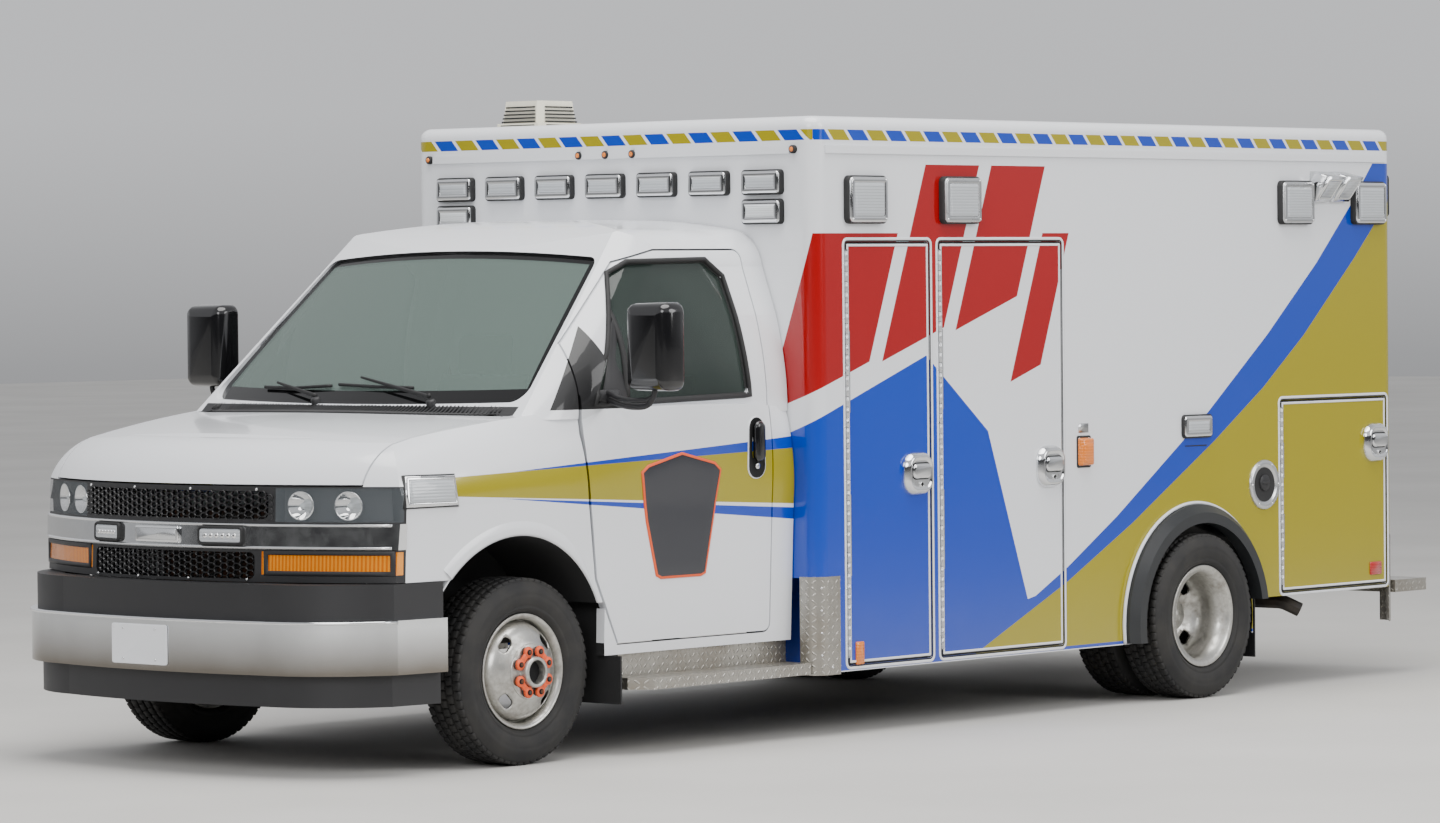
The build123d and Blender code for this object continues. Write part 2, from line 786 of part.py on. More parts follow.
for side_name, side in (("left", 1), ("right", -1)):
    with BuildPart() as door:
        add(cab_skin)
        extrude(door_outline(door_gap), amount=-side * side_reach, mode=Mode.INTERSECT)
        extrude(window_outline(0), amount=-side * side_reach, mode=Mode.SUBTRACT)
        extrude(screen_outline(screen_gap), amount=nose_reach, mode=Mode.SUBTRACT)
        add(edge_relief(side), mode=Mode.SUBTRACT)
        for foot, head, arm_points in cab_hinges:
            with BuildSketch(Plane(origin=(at(cab_hinge_x), side * cab_hinge_y, foot))):
                trace(arm_line(arm_points, Plane.XY, side), line_width=arm_thickness)
                Circle(cab_hinge_eye)
                Circle(cab_hinge_pin + pin_clear, mode=Mode.SUBTRACT)
            extrude(amount=head - foot)
    keep(door, "cab_door_" + side_name)
    with BuildPart() as glass:
        add(glass_skin)
        extrude(window_outline(0), amount=-side * side_reach, mode=Mode.INTERSECT)
    keep(glass, "door_glass_" + side_name)

# Windscreen
with BuildPart() as windscreen:
    add(glass_skin)
    extrude(screen_outline(), amount=nose_reach, mode=Mode.INTERSECT)
keep(windscreen, "windscreen")


# Cowl between the hood and the windscreen, cut from the skin
cowl_foot_z = 1285
cowl_top_z = 1361
cowl_edge_y = 868
screen_foot_side = -100
screen_foot_middle = 5


def cowl_outline():
    with BuildSketch(Plane.XY.offset(cowl_foot_z)) as outline:
        with BuildLine():
            ahead_x = at(hood_back_side - 1)
            behind_x = at(screen_foot_side)
            ThreePointArc((ahead_x, -cowl_edge_y), (at(hood_back_middle), 0), (ahead_x, cowl_edge_y))
            Line((ahead_x, cowl_edge_y), (behind_x, cowl_edge_y))
            ThreePointArc((behind_x, cowl_edge_y), (at(screen_foot_middle), 0), (behind_x, -cowl_edge_y))
            Line((behind_x, -cowl_edge_y), (ahead_x, -cowl_edge_y))
        make_face()
    return outline.sketch


with BuildPart() as cowl:
    add(cab_skin)
    extrude(cowl_outline(), amount=cowl_top_z - cowl_foot_z, mode=Mode.INTERSECT)
    extrude(hood_outline(0), amount=hood_height, mode=Mode.SUBTRACT)
    for side in (1, -1):
        add(hood_hinge_pocket(side), mode=Mode.SUBTRACT)
        with BuildSketch(Plane.XZ.offset(-side * (hood_arm_y - hood_pocket_half - 6))):
            with Locations((at(hood_pin_x), hood_pin_z)):
                Circle(hinge_pin_radius)
        extrude(amount=-side * 2 * (hood_pocket_half + 6))
keep(cowl, "cowl")

floor_half = 942


# Cab shell: skin with its openings, wheelhouses, floor and firewall
def arch_sketch(radius):
    with BuildSketch(Plane.XZ) as outline:
        with Locations((at(fender_arch_x), fender_arch_z)):
            Circle(radius)
    return outline.sketch


with BuildPart() as cab_inside:
    add(cab_form(cab_wall))

with BuildPart() as cab_shell:
    add(cab_skin)
    for side in (1, -1):
        extrude(door_outline(0), amount=-side * side_reach, mode=Mode.SUBTRACT)
    extrude(screen_outline(), amount=nose_reach, mode=Mode.SUBTRACT)
    extrude(hood_outline(0), amount=hood_height, mode=Mode.SUBTRACT)
    extrude(cowl_outline(), amount=cowl_top_z - cowl_foot_z, mode=Mode.SUBTRACT)
    # everything ahead of the headlamps' rear edge belongs to the front mask
    with BuildSketch(Plane.XY.offset(cab_foot_z - 10)):
        with Locations((at(mask_back + 300), 0)):
            Rectangle(600, 2200)
    extrude(amount=hood_foot_z - cab_foot_z + 10, mode=Mode.SUBTRACT)
    with BuildSketch(Plane.XY.offset(cab_foot_z - 10)):
        with Locations((at(mask_back), 0)):
            Rectangle(2 * (mask_back - fender_arch_x), 2200)
    extrude(amount=fender_foot_z - cab_foot_z + 10, mode=Mode.SUBTRACT)
    with BuildSketch(Plane.XY.offset(cab_foot_z - 10)):
        with Locations((at(-200), 0)):
            Rectangle(2 * 230, 2200)
    extrude(amount=fender_arch_foot_z - cab_foot_z + 10, mode=Mode.SUBTRACT)
    # wheelhouses
    with BuildPart(mode=Mode.PRIVATE) as wheelhouse:
        extrude(arch_sketch(fender_arch_radius + liner_thickness), amount=-990)
        extrude(arch_sketch(fender_arch_radius + liner_thickness), amount=990)
        with BuildSketch(Plane.XZ.offset(-fender_arch_inner_y)):
            with Locations((at(fender_arch_x), fender_arch_z)):
                Circle(1000)
        extrude(amount=2 * fender_arch_inner_y, mode=Mode.SUBTRACT)
        with BuildSketch(Plane.XY):
            with Locations((at(fender_arch_x), 0)):
                Rectangle(1100, 2100)
        extrude(amount=fender_arch_foot_z, mode=Mode.SUBTRACT)
        with BuildSketch(Plane.XY):
            with Locations((at(bumper_clear_x + 300), 0)):
                Rectangle(600, 2100)
        extrude(amount=fender_foot_z, mode=Mode.SUBTRACT)
        add(lower_form(2, cab_foot_z), mode=Mode.INTERSECT)
    add(wheelhouse.part)
    inner_wall_y = fender_arch_inner_y + liner_thickness
    for side in (1, -1):
        with BuildSketch(Plane.XZ.offset(-side * inner_wall_y)):
            with Locations((at(fender_arch_x), fender_arch_z)):
                Circle(fender_arch_radius)
        extrude(amount=-side * 600, mode=Mode.SUBTRACT)
    # floor and firewall
    with BuildPart(mode=Mode.PRIVATE) as bulkheads:
        with BuildSketch(Plane.XY.offset(cab_floor_z)):
            with Locations((at((cab_back + firewall_x) / 2), 0)):
                Rectangle(firewall_x - cab_back, 2100)
        extrude(amount=-floor_thickness)
        with BuildSketch(Plane.XY.offset(cab_floor_z - floor_thickness)):
            with Locations((at(firewall_x + 10), 0)):
                Rectangle(20, 2100)
        extrude(amount=belt_z - cab_floor_z)
        add(cab_inside.part, mode=Mode.INTERSECT)
        for side in (1, -1):
            with BuildSketch(Plane.XZ.offset(-side * floor_half)):
                with Locations((at((door_back + door_arch[0]) / 2), belt_z / 2)):
                    Rectangle(door_arch[0] - door_back + 2 * door_gap, 2 * belt_z)
            extrude(amount=-side * 300, mode=Mode.SUBTRACT)
            with BuildSketch(Plane.XZ.offset(-side * inner_wall_y)):
                with Locations((at(fender_arch_x), fender_arch_z)):
                    Circle(fender_arch_radius)
            extrude(amount=-side * 600, mode=Mode.SUBTRACT)
    add(bulkheads.part)
    # pins and cheeks of the cab doors' hinges, and the hood hinges' pockets
    for side in (1, -1):
        add(hood_hinge_pocket(side), mode=Mode.SUBTRACT)
        for foot, head, arm_points in cab_hinges:
            add(hinge_pocket(side, foot, head), mode=Mode.SUBTRACT)
            add(hinge_block(side, foot - 1, head + 1, cab_hinge_eye + cab_hinge_room), mode=Mode.SUBTRACT)
            add(hinge_block(side, foot - 10, head + 10, cab_hinge_pin))
            for low in (foot - 10, head + 1):
                with BuildPart(mode=Mode.PRIVATE) as cheek:
                    with Locations((at(cab_hinge_x), side * (cab_hinge_y + 12), low + 4.5)):
                        Box(2 * cab_hinge_eye, 52, 9)
                    add(cab_form(cab_wall / 2), mode=Mode.INTERSECT)
                add(cheek.part)
keep(cab_shell, "cab_shell")

# Front end. The mask is a black shell behind the lamps, the bright bar and the grille
mask_depth = 60
mask_side_gap = seat_gap
bar_z = (850, 946)
bar_proud = 8
lamp_z = (952, hood_foot_z - 6)
turn_z = (756, 842)
upper_grille = (-495, 495, 962, 1066)
lower_grille = (-440, 440, 738, 838)
lamp_inner_y = 525
turn_inner_y = 470
mesh_depth = 22
mesh_thickness = 8


def nose_band(low, high, back):
    """Box around the nose between two heights, ahead of a place."""
    with BuildPart() as band:
        with BuildSketch(Plane.XY.offset(low)):
            with Locations((at(back + 300), 0)):
                Rectangle(600, 2200)
        extrude(amount=high - low)
    return band.part


def nose_window(window):
    """Prism through the nose, seen from the front: y from, y to, z from, z to."""
    left, right, low, high = window
    with BuildSketch(Plane.YZ.offset(at(mask_back + 40))) as outline:
        with Locations(((left + right) / 2, (low + high) / 2)):
            RectangleRounded(right - left, high - low, 24)
    return outline.sketch


lamp_outer = nose_skin(0, mask_depth - 15)
with BuildPart() as front_lamps:
    for low, high, inner_y in ((*lamp_z, lamp_inner_y), (*turn_z, turn_inner_y)):
        with BuildPart(mode=Mode.PRIVATE) as pair:
            add(lamp_outer)
            add(nose_band(low, high, mask_back + 12), mode=Mode.INTERSECT)
            with BuildSketch(Plane.YZ.offset(at(mask_back))):
                with Locations((0, (low + high) / 2)):
                    Rectangle(2 * inner_y, high - low + 20)
            extrude(amount=600, mode=Mode.SUBTRACT)
        add(pair.part)
keep(front_lamps, "front_lamps")

with BuildPart() as grille_bar:
    add(nose_skin(-bar_proud, mask_depth - 30))
    add(nose_band(bar_z[0], bar_z[1], mask_back + 4), mode=Mode.INTERSECT)
keep(grille_bar, "grille_bar")

with BuildPart() as front_mask:
    add(nose_skin(0, mask_depth))
    add(nose_band(mask_foot_z, hood_foot_z, mask_back + mask_side_gap), mode=Mode.INTERSECT)
    add(grille_bar.part, mode=Mode.SUBTRACT)
    add(front_lamps.part, mode=Mode.SUBTRACT)
    for window in (upper_grille, lower_grille):
        extrude(nose_window(window), amount=600, mode=Mode.SUBTRACT)
keep(front_mask, "front_mask")

# Grille panels: curved plates pierced by staggered six sided holes, each whole hole inside a plain border
cell_radius = 22
cell_wall = 6
cell_border = 3


def cell_field(window):
    """Holes of one grille panel, seen from the front, that lie inside its border."""
    left, right, low, high = window
    reach = cell_radius - cell_wall / 2
    columns = int((right - left) / (1.5 * cell_radius))
    rows = int((high - low) / (3**0.5 * cell_radius)) + 1
    spots = []
    for spot in HexLocations(cell_radius, columns, rows, major_radius=True).local_locations:
        y, z = spot.position.X, spot.position.Y
        inside_y = abs(y) + reach + cell_border < (right - left) / 2
        inside_z = abs(z) + reach + cell_border < (high - low) / 2
        if inside_y and inside_z:
            spots.append(((left + right) / 2 + y, (low + high) / 2 + z))
    with BuildSketch(Plane.YZ.offset(at(mask_back + 40))) as field:
        with Locations(*spots):
            RegularPolygon(reach, 6)
    return field.sketch


with BuildPart() as grille_mesh:
    for window in (upper_grille, lower_grille):
        with BuildPart(mode=Mode.PRIVATE) as panel:
            add(nose_skin(mesh_depth, mesh_depth + mesh_thickness))
            extrude(nose_window(window), amount=600, mode=Mode.INTERSECT)
            extrude(cell_field(window), amount=600, mode=Mode.SUBTRACT)
        add(panel.part)
keep(grille_mesh, "grille_mesh")

# Bumper: plan outline drawn in from its face by inset, open to the rear
bumper_end_x = 462
bumper_end_y = 1010
bumper_corner = (700, 985)
bumper_cheek = (905, 820)
bumper_shoulder = (1000, 560)
bumper_nose = front_overhang
chrome_z = (388, 590)
pad_z = (chrome_z[1], 724)
valance_z = (268, chrome_z[0])


def bumper_outline(inset, low):
    with BuildSketch(Plane.XY.offset(low)) as outline:
        with BuildLine():
            tip = at(bumper_nose - inset)
            shoulder = (at(bumper_shoulder[0] - inset), bumper_shoulder[1] - inset * 0.3)
            cheek = (at(bumper_cheek[0] - 0.8 * inset), bumper_cheek[1] - 0.7 * inset)
            corner = (at(bumper_corner[0] - 0.2 * inset), bumper_corner[1] - inset)
            end = (at(bumper_end_x - 1), bumper_end_y - inset)
            ThreePointArc((shoulder[0], -shoulder[1]), (tip, 0), shoulder)
            for side in (1, -1):
                ThreePointArc(
                    (shoulder[0], side * shoulder[1]), (cheek[0], side * cheek[1]),
                    (corner[0], side * corner[1]),
                )
                Line((corner[0], side * corner[1]), (end[0], side * end[1]))
            Line(end, (end[0], -end[1]))
        make_face()
    return outline.sketch


bumper_wall = 8


def bumper_band(low, high, inset, thickness):
    """Channel that follows the bumper's face, open to the rear."""
    with BuildPart() as band:
        extrude(bumper_outline(inset, low), amount=high - low)
        extrude(bumper_outline(inset + thickness, low - 1), amount=high - low + 2, mode=Mode.SUBTRACT)
        extrude(bumper_outline(inset + bumper_wall, low + bumper_wall), amount=high - low - 2 * bumper_wall,
                mode=Mode.SUBTRACT)
        with BuildSketch(Plane.XY.offset(low - 1)):
            with Locations((at(bumper_end_x - 500), 0)):
                Rectangle(1000, 2200)
        extrude(amount=high - low + 2, mode=Mode.SUBTRACT)
    return band


chrome_depth = 60
pad_inset = 22
pad_depth = 90
valance_inset = 40
valance_depth = 60
plate_centre = (-27, 486)
plate_hole_spacing = (178, 121)
plate_hole_radius = 3.5
plate_boss_radius = 9
chrome = bumper_band(chrome_z[0], chrome_z[1], 0, chrome_depth)
with BuildPart() as front_bumper:
    add(chrome.part)
    for side in (1, -1):
        with BuildSketch(Plane.YZ.offset(at(rail_front) + seat_gap)):
            with Locations((side * (rail_y - rail_flange / 2), 500)):
                Rectangle(60, 120)
        extrude(until=Until.NEXT)
    with BuildSketch(Plane.YZ.offset(at(front_overhang))):
        with Locations(plate_centre):
            with GridLocations(plate_hole_spacing[0], plate_hole_spacing[1], 2, 2):
                RegularPolygon(plate_boss_radius, 8)
    extrude(amount=-bumper_wall)
    with BuildSketch(Plane.YZ.offset(at(front_overhang))):
        with Locations(plate_centre):
            with GridLocations(plate_hole_spacing[0], plate_hole_spacing[1], 2, 2):
                Circle(plate_hole_radius)
    extrude(amount=-3 * bumper_wall, mode=Mode.SUBTRACT)
keep(front_bumper, "front_bumper")

pad = bumper_band(pad_z[0], pad_z[1], pad_inset, pad_depth)
valance = bumper_band(valance_z[0], valance_z[1], valance_inset, valance_depth)
with BuildPart() as bumper_pads:
    add(pad.part)
    add(valance.part)
keep(bumper_pads, "bumper_pads")

# Dashboard across the cab, seats on their boxes and the steering wheel
dash_front = firewall_x - seat_gap
dash_points = (
    (dash_front, 1040), (dash_front, 1250), (-140, 1290), (-330, 1262),
    (-420, 1190), (-400, 1040), (-250, 900), (-150, 900),
)
dash_half = 850
with BuildPart() as dashboard:
    with BuildSketch(Plane.XZ):
        with BuildLine():
            Polyline(*[(at(x), z) for x, z in dash_points], close=True)
        make_face()
    extrude(amount=dash_half, both=True)

seat_y = 460
seat_width = 500
seat_x = -1010
seat_box_z = 860
with BuildPart() as cab_seats:
    for side in (1, -1):
        with BuildPart(mode=Mode.PRIVATE) as seat:
            with BuildSketch(Plane.XZ.offset(-side * seat_y)):
                with BuildLine():
                    Polyline(
                        (at(seat_x - 215), cab_floor_z + seat_gap), (at(seat_x + 215), cab_floor_z + seat_gap),
                        (at(seat_x + 215), seat_box_z), (at(seat_x + 290), seat_box_z + 20),
                        (at(seat_x + 290), seat_box_z + 130), (at(seat_x - 150), seat_box_z + 120),
                        (at(seat_x - 330), seat_box_z + 760), (at(seat_x - 420), seat_box_z + 760),
                        (at(seat_x - 290), seat_box_z + 20), (at(seat_x - 215), seat_box_z), close=True,
                    )
                make_face()
            extrude(amount=seat_width / 2, both=True)
        add(seat.part)
keep(cab_seats, "cab_seats")

steer_x = -640
steer_y = 430
steer_z = 1215
steer_tilt = 32
steer_radius = 190
steer_grip = 15
steer_plane = Plane(origin=(at(steer_x), steer_y, steer_z), x_dir=(0, 1, 0),
                    z_dir=(-cos(radians(steer_tilt)), 0, sin(radians(steer_tilt))))
column_length = 300
with BuildPart() as steering_wheel:
    with BuildSketch(Plane(origin=steer_plane.origin, x_dir=steer_plane.x_dir, z_dir=steer_plane.y_dir)):
        with Locations((steer_radius, 0)):
            RegularPolygon(steer_grip, 6)
    revolve(axis=Axis(steer_plane.origin, steer_plane.z_dir))
    with BuildSketch(steer_plane.offset(-24)):
        Circle(62)
        Rectangle(2 * steer_radius, 34)
        with Locations((0, -steer_radius / 2)):
            Rectangle(34, steer_radius)
    extrude(amount=26)
    with BuildSketch(steer_plane.offset(-24)):
        Circle(16)
    extrude(amount=-60)
keep(steering_wheel, "steering_wheel")

with BuildPart() as dashboard_with_column:
    add(dashboard.part)
    with BuildSketch(steer_plane.offset(-60)):
        Circle(34)
    extrude(amount=-column_length)
    with BuildSketch(steer_plane.offset(-60)):
        Circle(16 + seat_gap)
    extrude(amount=-30, mode=Mode.SUBTRACT)
    add(cab_form(cab_wall + door_gap), mode=Mode.INTERSECT)
keep(dashboard_with_column, "dashboard")

# Door mirrors on their arms
mirror_x = -450
mirror_head = (110, 226, 345)
mirror_corner = 42
mirror_edge = 26
mirror_y = 1235
mirror_z = 1585
arm_z = 1348
sail_points = ((-330, 1338), (-400, 1500), (-480, 1338))
with BuildPart() as mirror_left:
    with BuildSketch(Plane.YZ.offset(at(mirror_x - mirror_head[0] / 2))):
        with Locations((mirror_y, mirror_z)):
            RectangleRounded(mirror_head[1], mirror_head[2], mirror_corner)
    extrude(amount=mirror_head[0])
    chamfer(mirror_left.faces().sort_by(Axis.X)[-1].edges(), mirror_edge)
    with BuildSketch(Plane.XY.offset(arm_z - 16)):
        with Locations((at(mirror_x), (930 + mirror_y) / 2)):
            RectangleRounded(44, mirror_y + 30 - 930, 20)
    extrude(amount=32)
    with BuildSketch(Plane.XY.offset(arm_z)):
        with Locations((at(mirror_x), mirror_y)):
            Circle(17)
    extrude(amount=90)
    with BuildSketch(Plane.XZ.offset(-900)):
        with BuildLine():
            Polyline(*[(at(x), z) for x, z in sail_points], close=True)
        make_face()
    extrude(amount=-110)
    add(cab_form(0), mode=Mode.SUBTRACT)
keep(mirror_left, "mirror_left")
keep(mirrored(mirror_left), "mirror_right")

# Patient module: hollow box with its doors' openings, wheelhouses and lockers
module_mid_x = at((module_front + module_rear) / 2)
module_length = module_front - module_rear
rear_door_z = (700, 2150)
rear_door_y = 715
entry_z = (300, 2105)
step_well_depth = 330
window_round = 45

# Doors in the module's side walls
# columns: name, side, front edge, rear edge, foot, head, and the window's distances from those four
side_doors = (
    ("locker_door_front_left", 1, -1721, -2252, 282, 1985, None),
    ("locker_door_middle_left", 1, -2314, -3130, 282, 1985, None),
    ("locker_door_rear_left", 1, -4706, -5525, 425, 1277, None),
    ("entry_door_right", -1, -2150, -2950, entry_z[0], entry_z[1], (160, 160, 1120, 180)),
    ("locker_door_rear_right", -1, -4706, -5525, 425, 1277, None),
)


def side_rectangle(side, front, rear, low, high, gap, radius):
    """Rectangle on the module's side wall, its plane at the outer face, facing inwards."""
    plane = Plane(origin=(0, side * module_half, 0), x_dir=(1, 0, 0), z_dir=(0, -side, 0))
    # the second axis of this plane points up on the right side and down on the left
    up = (plane.y_dir.Z > 0) * 2 - 1
    with BuildSketch(plane) as outline:
        with Locations((at((front + rear) / 2), up * (low + high) / 2)):
            RectangleRounded(front - rear - 2 * gap, high - low - 2 * gap, radius)
    return outline.sketch


def rear_rectangle(y_from, y_to, low, high, gap, radius, x=module_rear):
    """Rectangle on the module's rear wall, extruded forwards."""
    with BuildSketch(Plane.YZ.offset(at(x))) as outline:
        with Locations(((y_from + y_to) / 2, (low + high) / 2)):
            RectangleRounded(y_to - y_from - 2 * gap, high - low - 2 * gap, radius)
    return outline.sketch


def box_between(x_from, x_to, y_from, y_to, z_from, z_to):
    with BuildPart() as block:
        with Locations((at((x_from + x_to) / 2), (y_from + y_to) / 2, (z_from + z_to) / 2)):
            Box(abs(x_to - x_from), abs(y_to - y_from), abs(z_to - z_from))
    return block.part


def arch_disc(radius, y_from, y_to):
    with BuildPart() as disc:
        with BuildSketch(Plane.XZ.offset(-y_from)):
            with Locations((at(arch_x), arch_z)):
                Circle(radius)
        extrude(amount=-(y_to - y_from))
    return disc.part


door_corner = 12
liner_inset = 16
hinge_plate = 2
hinge_leaf = 16
hinge_pieces = 5
hinge_end = 30


def hinge_spans(low, high, moving):
    """Heights of the knuckles of a long hinge, every other one on the moving leaf."""
    pitch = (high - low - 2 * hinge_end) / hinge_pieces
    starts = [low + hinge_end + i * pitch for i in range(hinge_pieces) if i % 2 == moving]
    return [(start + 0.5, start + pitch - 0.5) for start in starts]


def side_hinge(side, front, low, high, moving):
    """Knuckles and leaf plates of one half of a side door's hinge, on the outer face."""
    with BuildPart() as half:
        for foot, head in hinge_spans(low, high, moving):
            with BuildSketch(Plane.XY.offset(foot)):
                with Locations((at(front), side * (module_half + hinge_pin_radius))):
                    Circle(hinge_pin_radius)
                reach = -(door_gap + hinge_leaf) if moving else hinge_leaf
                with Locations((at(front + reach / 2), side * (module_half + hinge_plate / 2))):
                    Rectangle(abs(reach), hinge_plate)
            extrude(amount=head - foot)
    return half.part


def rear_hinge(side, low, high, moving):
    """The same on the rear wall, beside the rear doors."""
    with BuildPart() as half:
        for foot, head in hinge_spans(low, high, moving):
            with BuildSketch(Plane.XY.offset(foot)):
                with Locations((at(module_rear - hinge_pin_radius), side * rear_door_y)):
                    Circle(hinge_pin_radius)
                reach = -(door_gap + hinge_leaf) if moving else hinge_leaf
                with Locations((at(module_rear - hinge_plate / 2), side * (rear_door_y + reach / 2))):
                    Rectangle(hinge_plate, abs(reach))
            extrude(amount=head - foot)
    return half.part


inner_side_y = module_half - module_wall
with BuildPart() as module_shell:
    with BuildSketch(Plane.XY.offset(module_skirt_z)):
        with Locations((module_mid_x, 0)):
            RectangleRounded(module_length, 2 * module_half, module_corner)
    extrude(amount=module_top_z - module_skirt_z)
    top_edges = module_shell.faces().sort_by(Axis.Z)[-1].edges()
    fillet(top_edges, roof_round)
    # load space above the floor and the open space between the skirts
    add(box_between(module_front - module_wall, module_rear + module_wall, -inner_side_y, inner_side_y,
                    module_floor_z, module_top_z - module_wall), mode=Mode.SUBTRACT)
    add(box_between(module_front + 1, module_rear - 1, -inner_side_y, inner_side_y,
                    module_skirt_z - 1, module_floor_z - module_wall), mode=Mode.SUBTRACT)
    add(box_between(rear_skirt_from, module_rear - 1, -module_half - 1, module_half + 1,
                    module_skirt_z - 1, rear_skirt_z), mode=Mode.SUBTRACT)
    # wheelhouses
    for side in (1, -1):
        near, far = (arch_inner_y, module_half - 1) if side > 0 else (-module_half + 1, -arch_inner_y)
        with BuildPart(mode=Mode.PRIVATE) as house:
            add(arch_disc(arch_radius + liner_wall, near, far))
            add(box_between(arch_x - 600, arch_x + 600, near, far, -600, module_floor_z - module_wall),
                mode=Mode.SUBTRACT)
        add(house.part)
        near, far = sorted((side * (arch_inner_y + liner_wall), side * (module_half + 1)))
        add(arch_disc(arch_radius, near, far), mode=Mode.SUBTRACT)
    # lockers and the entry step well: a liner behind each door, open outwards
    for label, side, front, rear, low, high, window in side_doors:
        entry = window is not None
        deep = step_well_depth if entry else locker_depth
        top = module_floor_z - 1 if entry else high + liner_inset
        outer_y = side * (module_half - 20)
        inner_y = side * (module_half - deep)
        add(box_between(front + liner_inset, rear - liner_inset, outer_y, inner_y, low - liner_inset, top))
        hollow_top = module_top_z - module_wall if entry else top - liner_wall
        hollow_inner = side * (module_half - deep + liner_wall)
        add(box_between(front + liner_inset - liner_wall, rear - liner_inset + liner_wall, outer_y,
                        hollow_inner, low - liner_inset + liner_wall, hollow_top), mode=Mode.SUBTRACT)
    for label, side, front, rear, low, high, window in side_doors:
        extrude(side_rectangle(side, front, rear, low, high, 0, door_corner), amount=module_wall + 5,
                mode=Mode.SUBTRACT)
    extrude(rear_rectangle(-rear_door_y, rear_door_y, rear_door_z[0], rear_door_z[1], 0, door_corner),
            amount=module_wall + 5, mode=Mode.SUBTRACT)
    for label, side, front, rear, low, high, window in side_doors:
        add(side_hinge(side, front, low, high, 0))
    for side in (1, -1):
        add(rear_hinge(side, rear_door_z[0], rear_door_z[1], 0))
    # sills that stand on the frame rails
    for side in (1, -1):
        add(box_between(module_front - module_wall, module_rear + module_wall, side * rail_y,
                        side * (rail_y - rail_flange), rail_top_z + seat_gap, module_floor_z - 1))
    # rain gutter along both sides and across the front
    add(box_between(module_front - module_corner, module_rear + module_corner,
                    -module_half - 9, module_half + 9, 2340, 2372))
    add(box_between(module_front + 9, module_rear - 9, -1000, 1000, 2340, 2372))
    add(box_between(module_front - module_wall, module_rear + module_wall, -inner_side_y, inner_side_y,
                    2300, 2400), mode=Mode.SUBTRACT)
keep(module_shell, "module_shell")

# Module doors: flush leaves with their handles
handle_size = (172, 165)
handle_proud = 26
handle_setback = 92
for label, side, front, rear, low, high, window in side_doors:
    handle_z = 1040 if high > 1400 else 1070
    with BuildPart() as leaf:
        extrude(side_rectangle(side, front, rear, low, high, door_gap, door_corner - 4),
                amount=leaf_thickness)
        if window:
            ahead, behind, under, over = window
            opening = side_rectangle(side, front - ahead, rear + behind, low + under, high - over, 0,
                                     window_round)
            extrude(opening, amount=leaf_thickness, mode=Mode.SUBTRACT)
        plane = Plane(origin=(0, side * module_half, 0), x_dir=(1, 0, 0), z_dir=(0, side, 0))
        up = (plane.y_dir.Z > 0) * 2 - 1
        with BuildSketch(plane):
            with Locations((at(rear + handle_setback), up * handle_z)):
                RectangleRounded(handle_size[0] - 20, handle_size[1], 62)
        extrude(amount=handle_proud, taper=14)
        add(side_hinge(side, front, low, high, 1))
    keep(leaf, label)
    if window:
        with BuildPart() as pane:
            extrude(opening, amount=leaf_thickness)
            with BuildSketch(plane):
                with Locations((at((front + rear) / 2), 0)):
                    Rectangle(2000, 6000)
            extrude(amount=-glass_depth, mode=Mode.SUBTRACT)
            with BuildSketch(plane.offset(-glass_depth - glass_thickness)):
                with Locations((at((front + rear) / 2), 0)):
                    Rectangle(2000, 6000)
            extrude(amount=-100, mode=Mode.SUBTRACT)
        keep(pane, "entry_glass_right")

# Rear doors: two leaves with windows
rear_window = (130, 110, 1400, 2010)
for side_name, side in (("left", 1), ("right", -1)):
    y_near, y_far = side * 0, side * rear_door_y
    low_y, high_y = min(y_near, y_far), max(y_near, y_far)
    glass_low, glass_high = sorted((side * rear_window[0], side * (rear_door_y - rear_window[1])))
    with BuildPart() as leaf:
        extrude(rear_rectangle(low_y, high_y, rear_door_z[0], rear_door_z[1], door_gap, door_corner - 4),
                amount=leaf_thickness)
        extrude(rear_rectangle(glass_low, glass_high, rear_window[2], rear_window[3], 0, window_round),
                amount=leaf_thickness, mode=Mode.SUBTRACT)
        with BuildSketch(Plane.YZ.offset(at(module_rear))):
            with Locations((side * 95, 1090)):
                RectangleRounded(90, 160, 40)
        extrude(amount=-handle_proud, taper=14)
        add(rear_hinge(side, rear_door_z[0], rear_door_z[1], 1))
    keep(leaf, "rear_door_" + side_name)
    with BuildPart() as pane:
        extrude(rear_rectangle(glass_low, glass_high, rear_window[2], rear_window[3], 0, window_round,
                               x=module_rear + glass_depth), amount=glass_thickness)
    keep(pane, "rear_glass_" + side_name)

# Black rubber flares round the rear arches
flare_outer = 505
flare_bevel = 34
flare_proud = 62
with BuildPart() as wheel_flares:
    for side in (1, -1):
        y_low, y_high = sorted((side * module_half, side * (module_half + flare_proud)))
        with BuildPart(mode=Mode.PRIVATE) as flare:
            add(arch_disc(flare_outer, y_low, y_high))
            add(arch_disc(arch_radius - 4, y_low - 1, y_high + 1), mode=Mode.SUBTRACT)
            add(box_between(arch_x - 700, arch_x + 700, y_low - 1, y_high + 1, -400, module_skirt_z + 4),
                mode=Mode.SUBTRACT)
            add(box_between(arch_x - 700, arch_x - 100, y_low - 1, y_high + 1, -400, rear_skirt_z),
                mode=Mode.SUBTRACT)
            circles = flare.edges().filter_by(GeomType.CIRCLE)
            outer_edges = circles.filter_by(lambda e: e.radius > flare_outer - 1).sort_by(Axis.Y)
            chamfer(outer_edges[-1 if side > 0 else 0], flare_bevel)
        add(flare.part)
keep(wheel_flares, "wheel_flares")

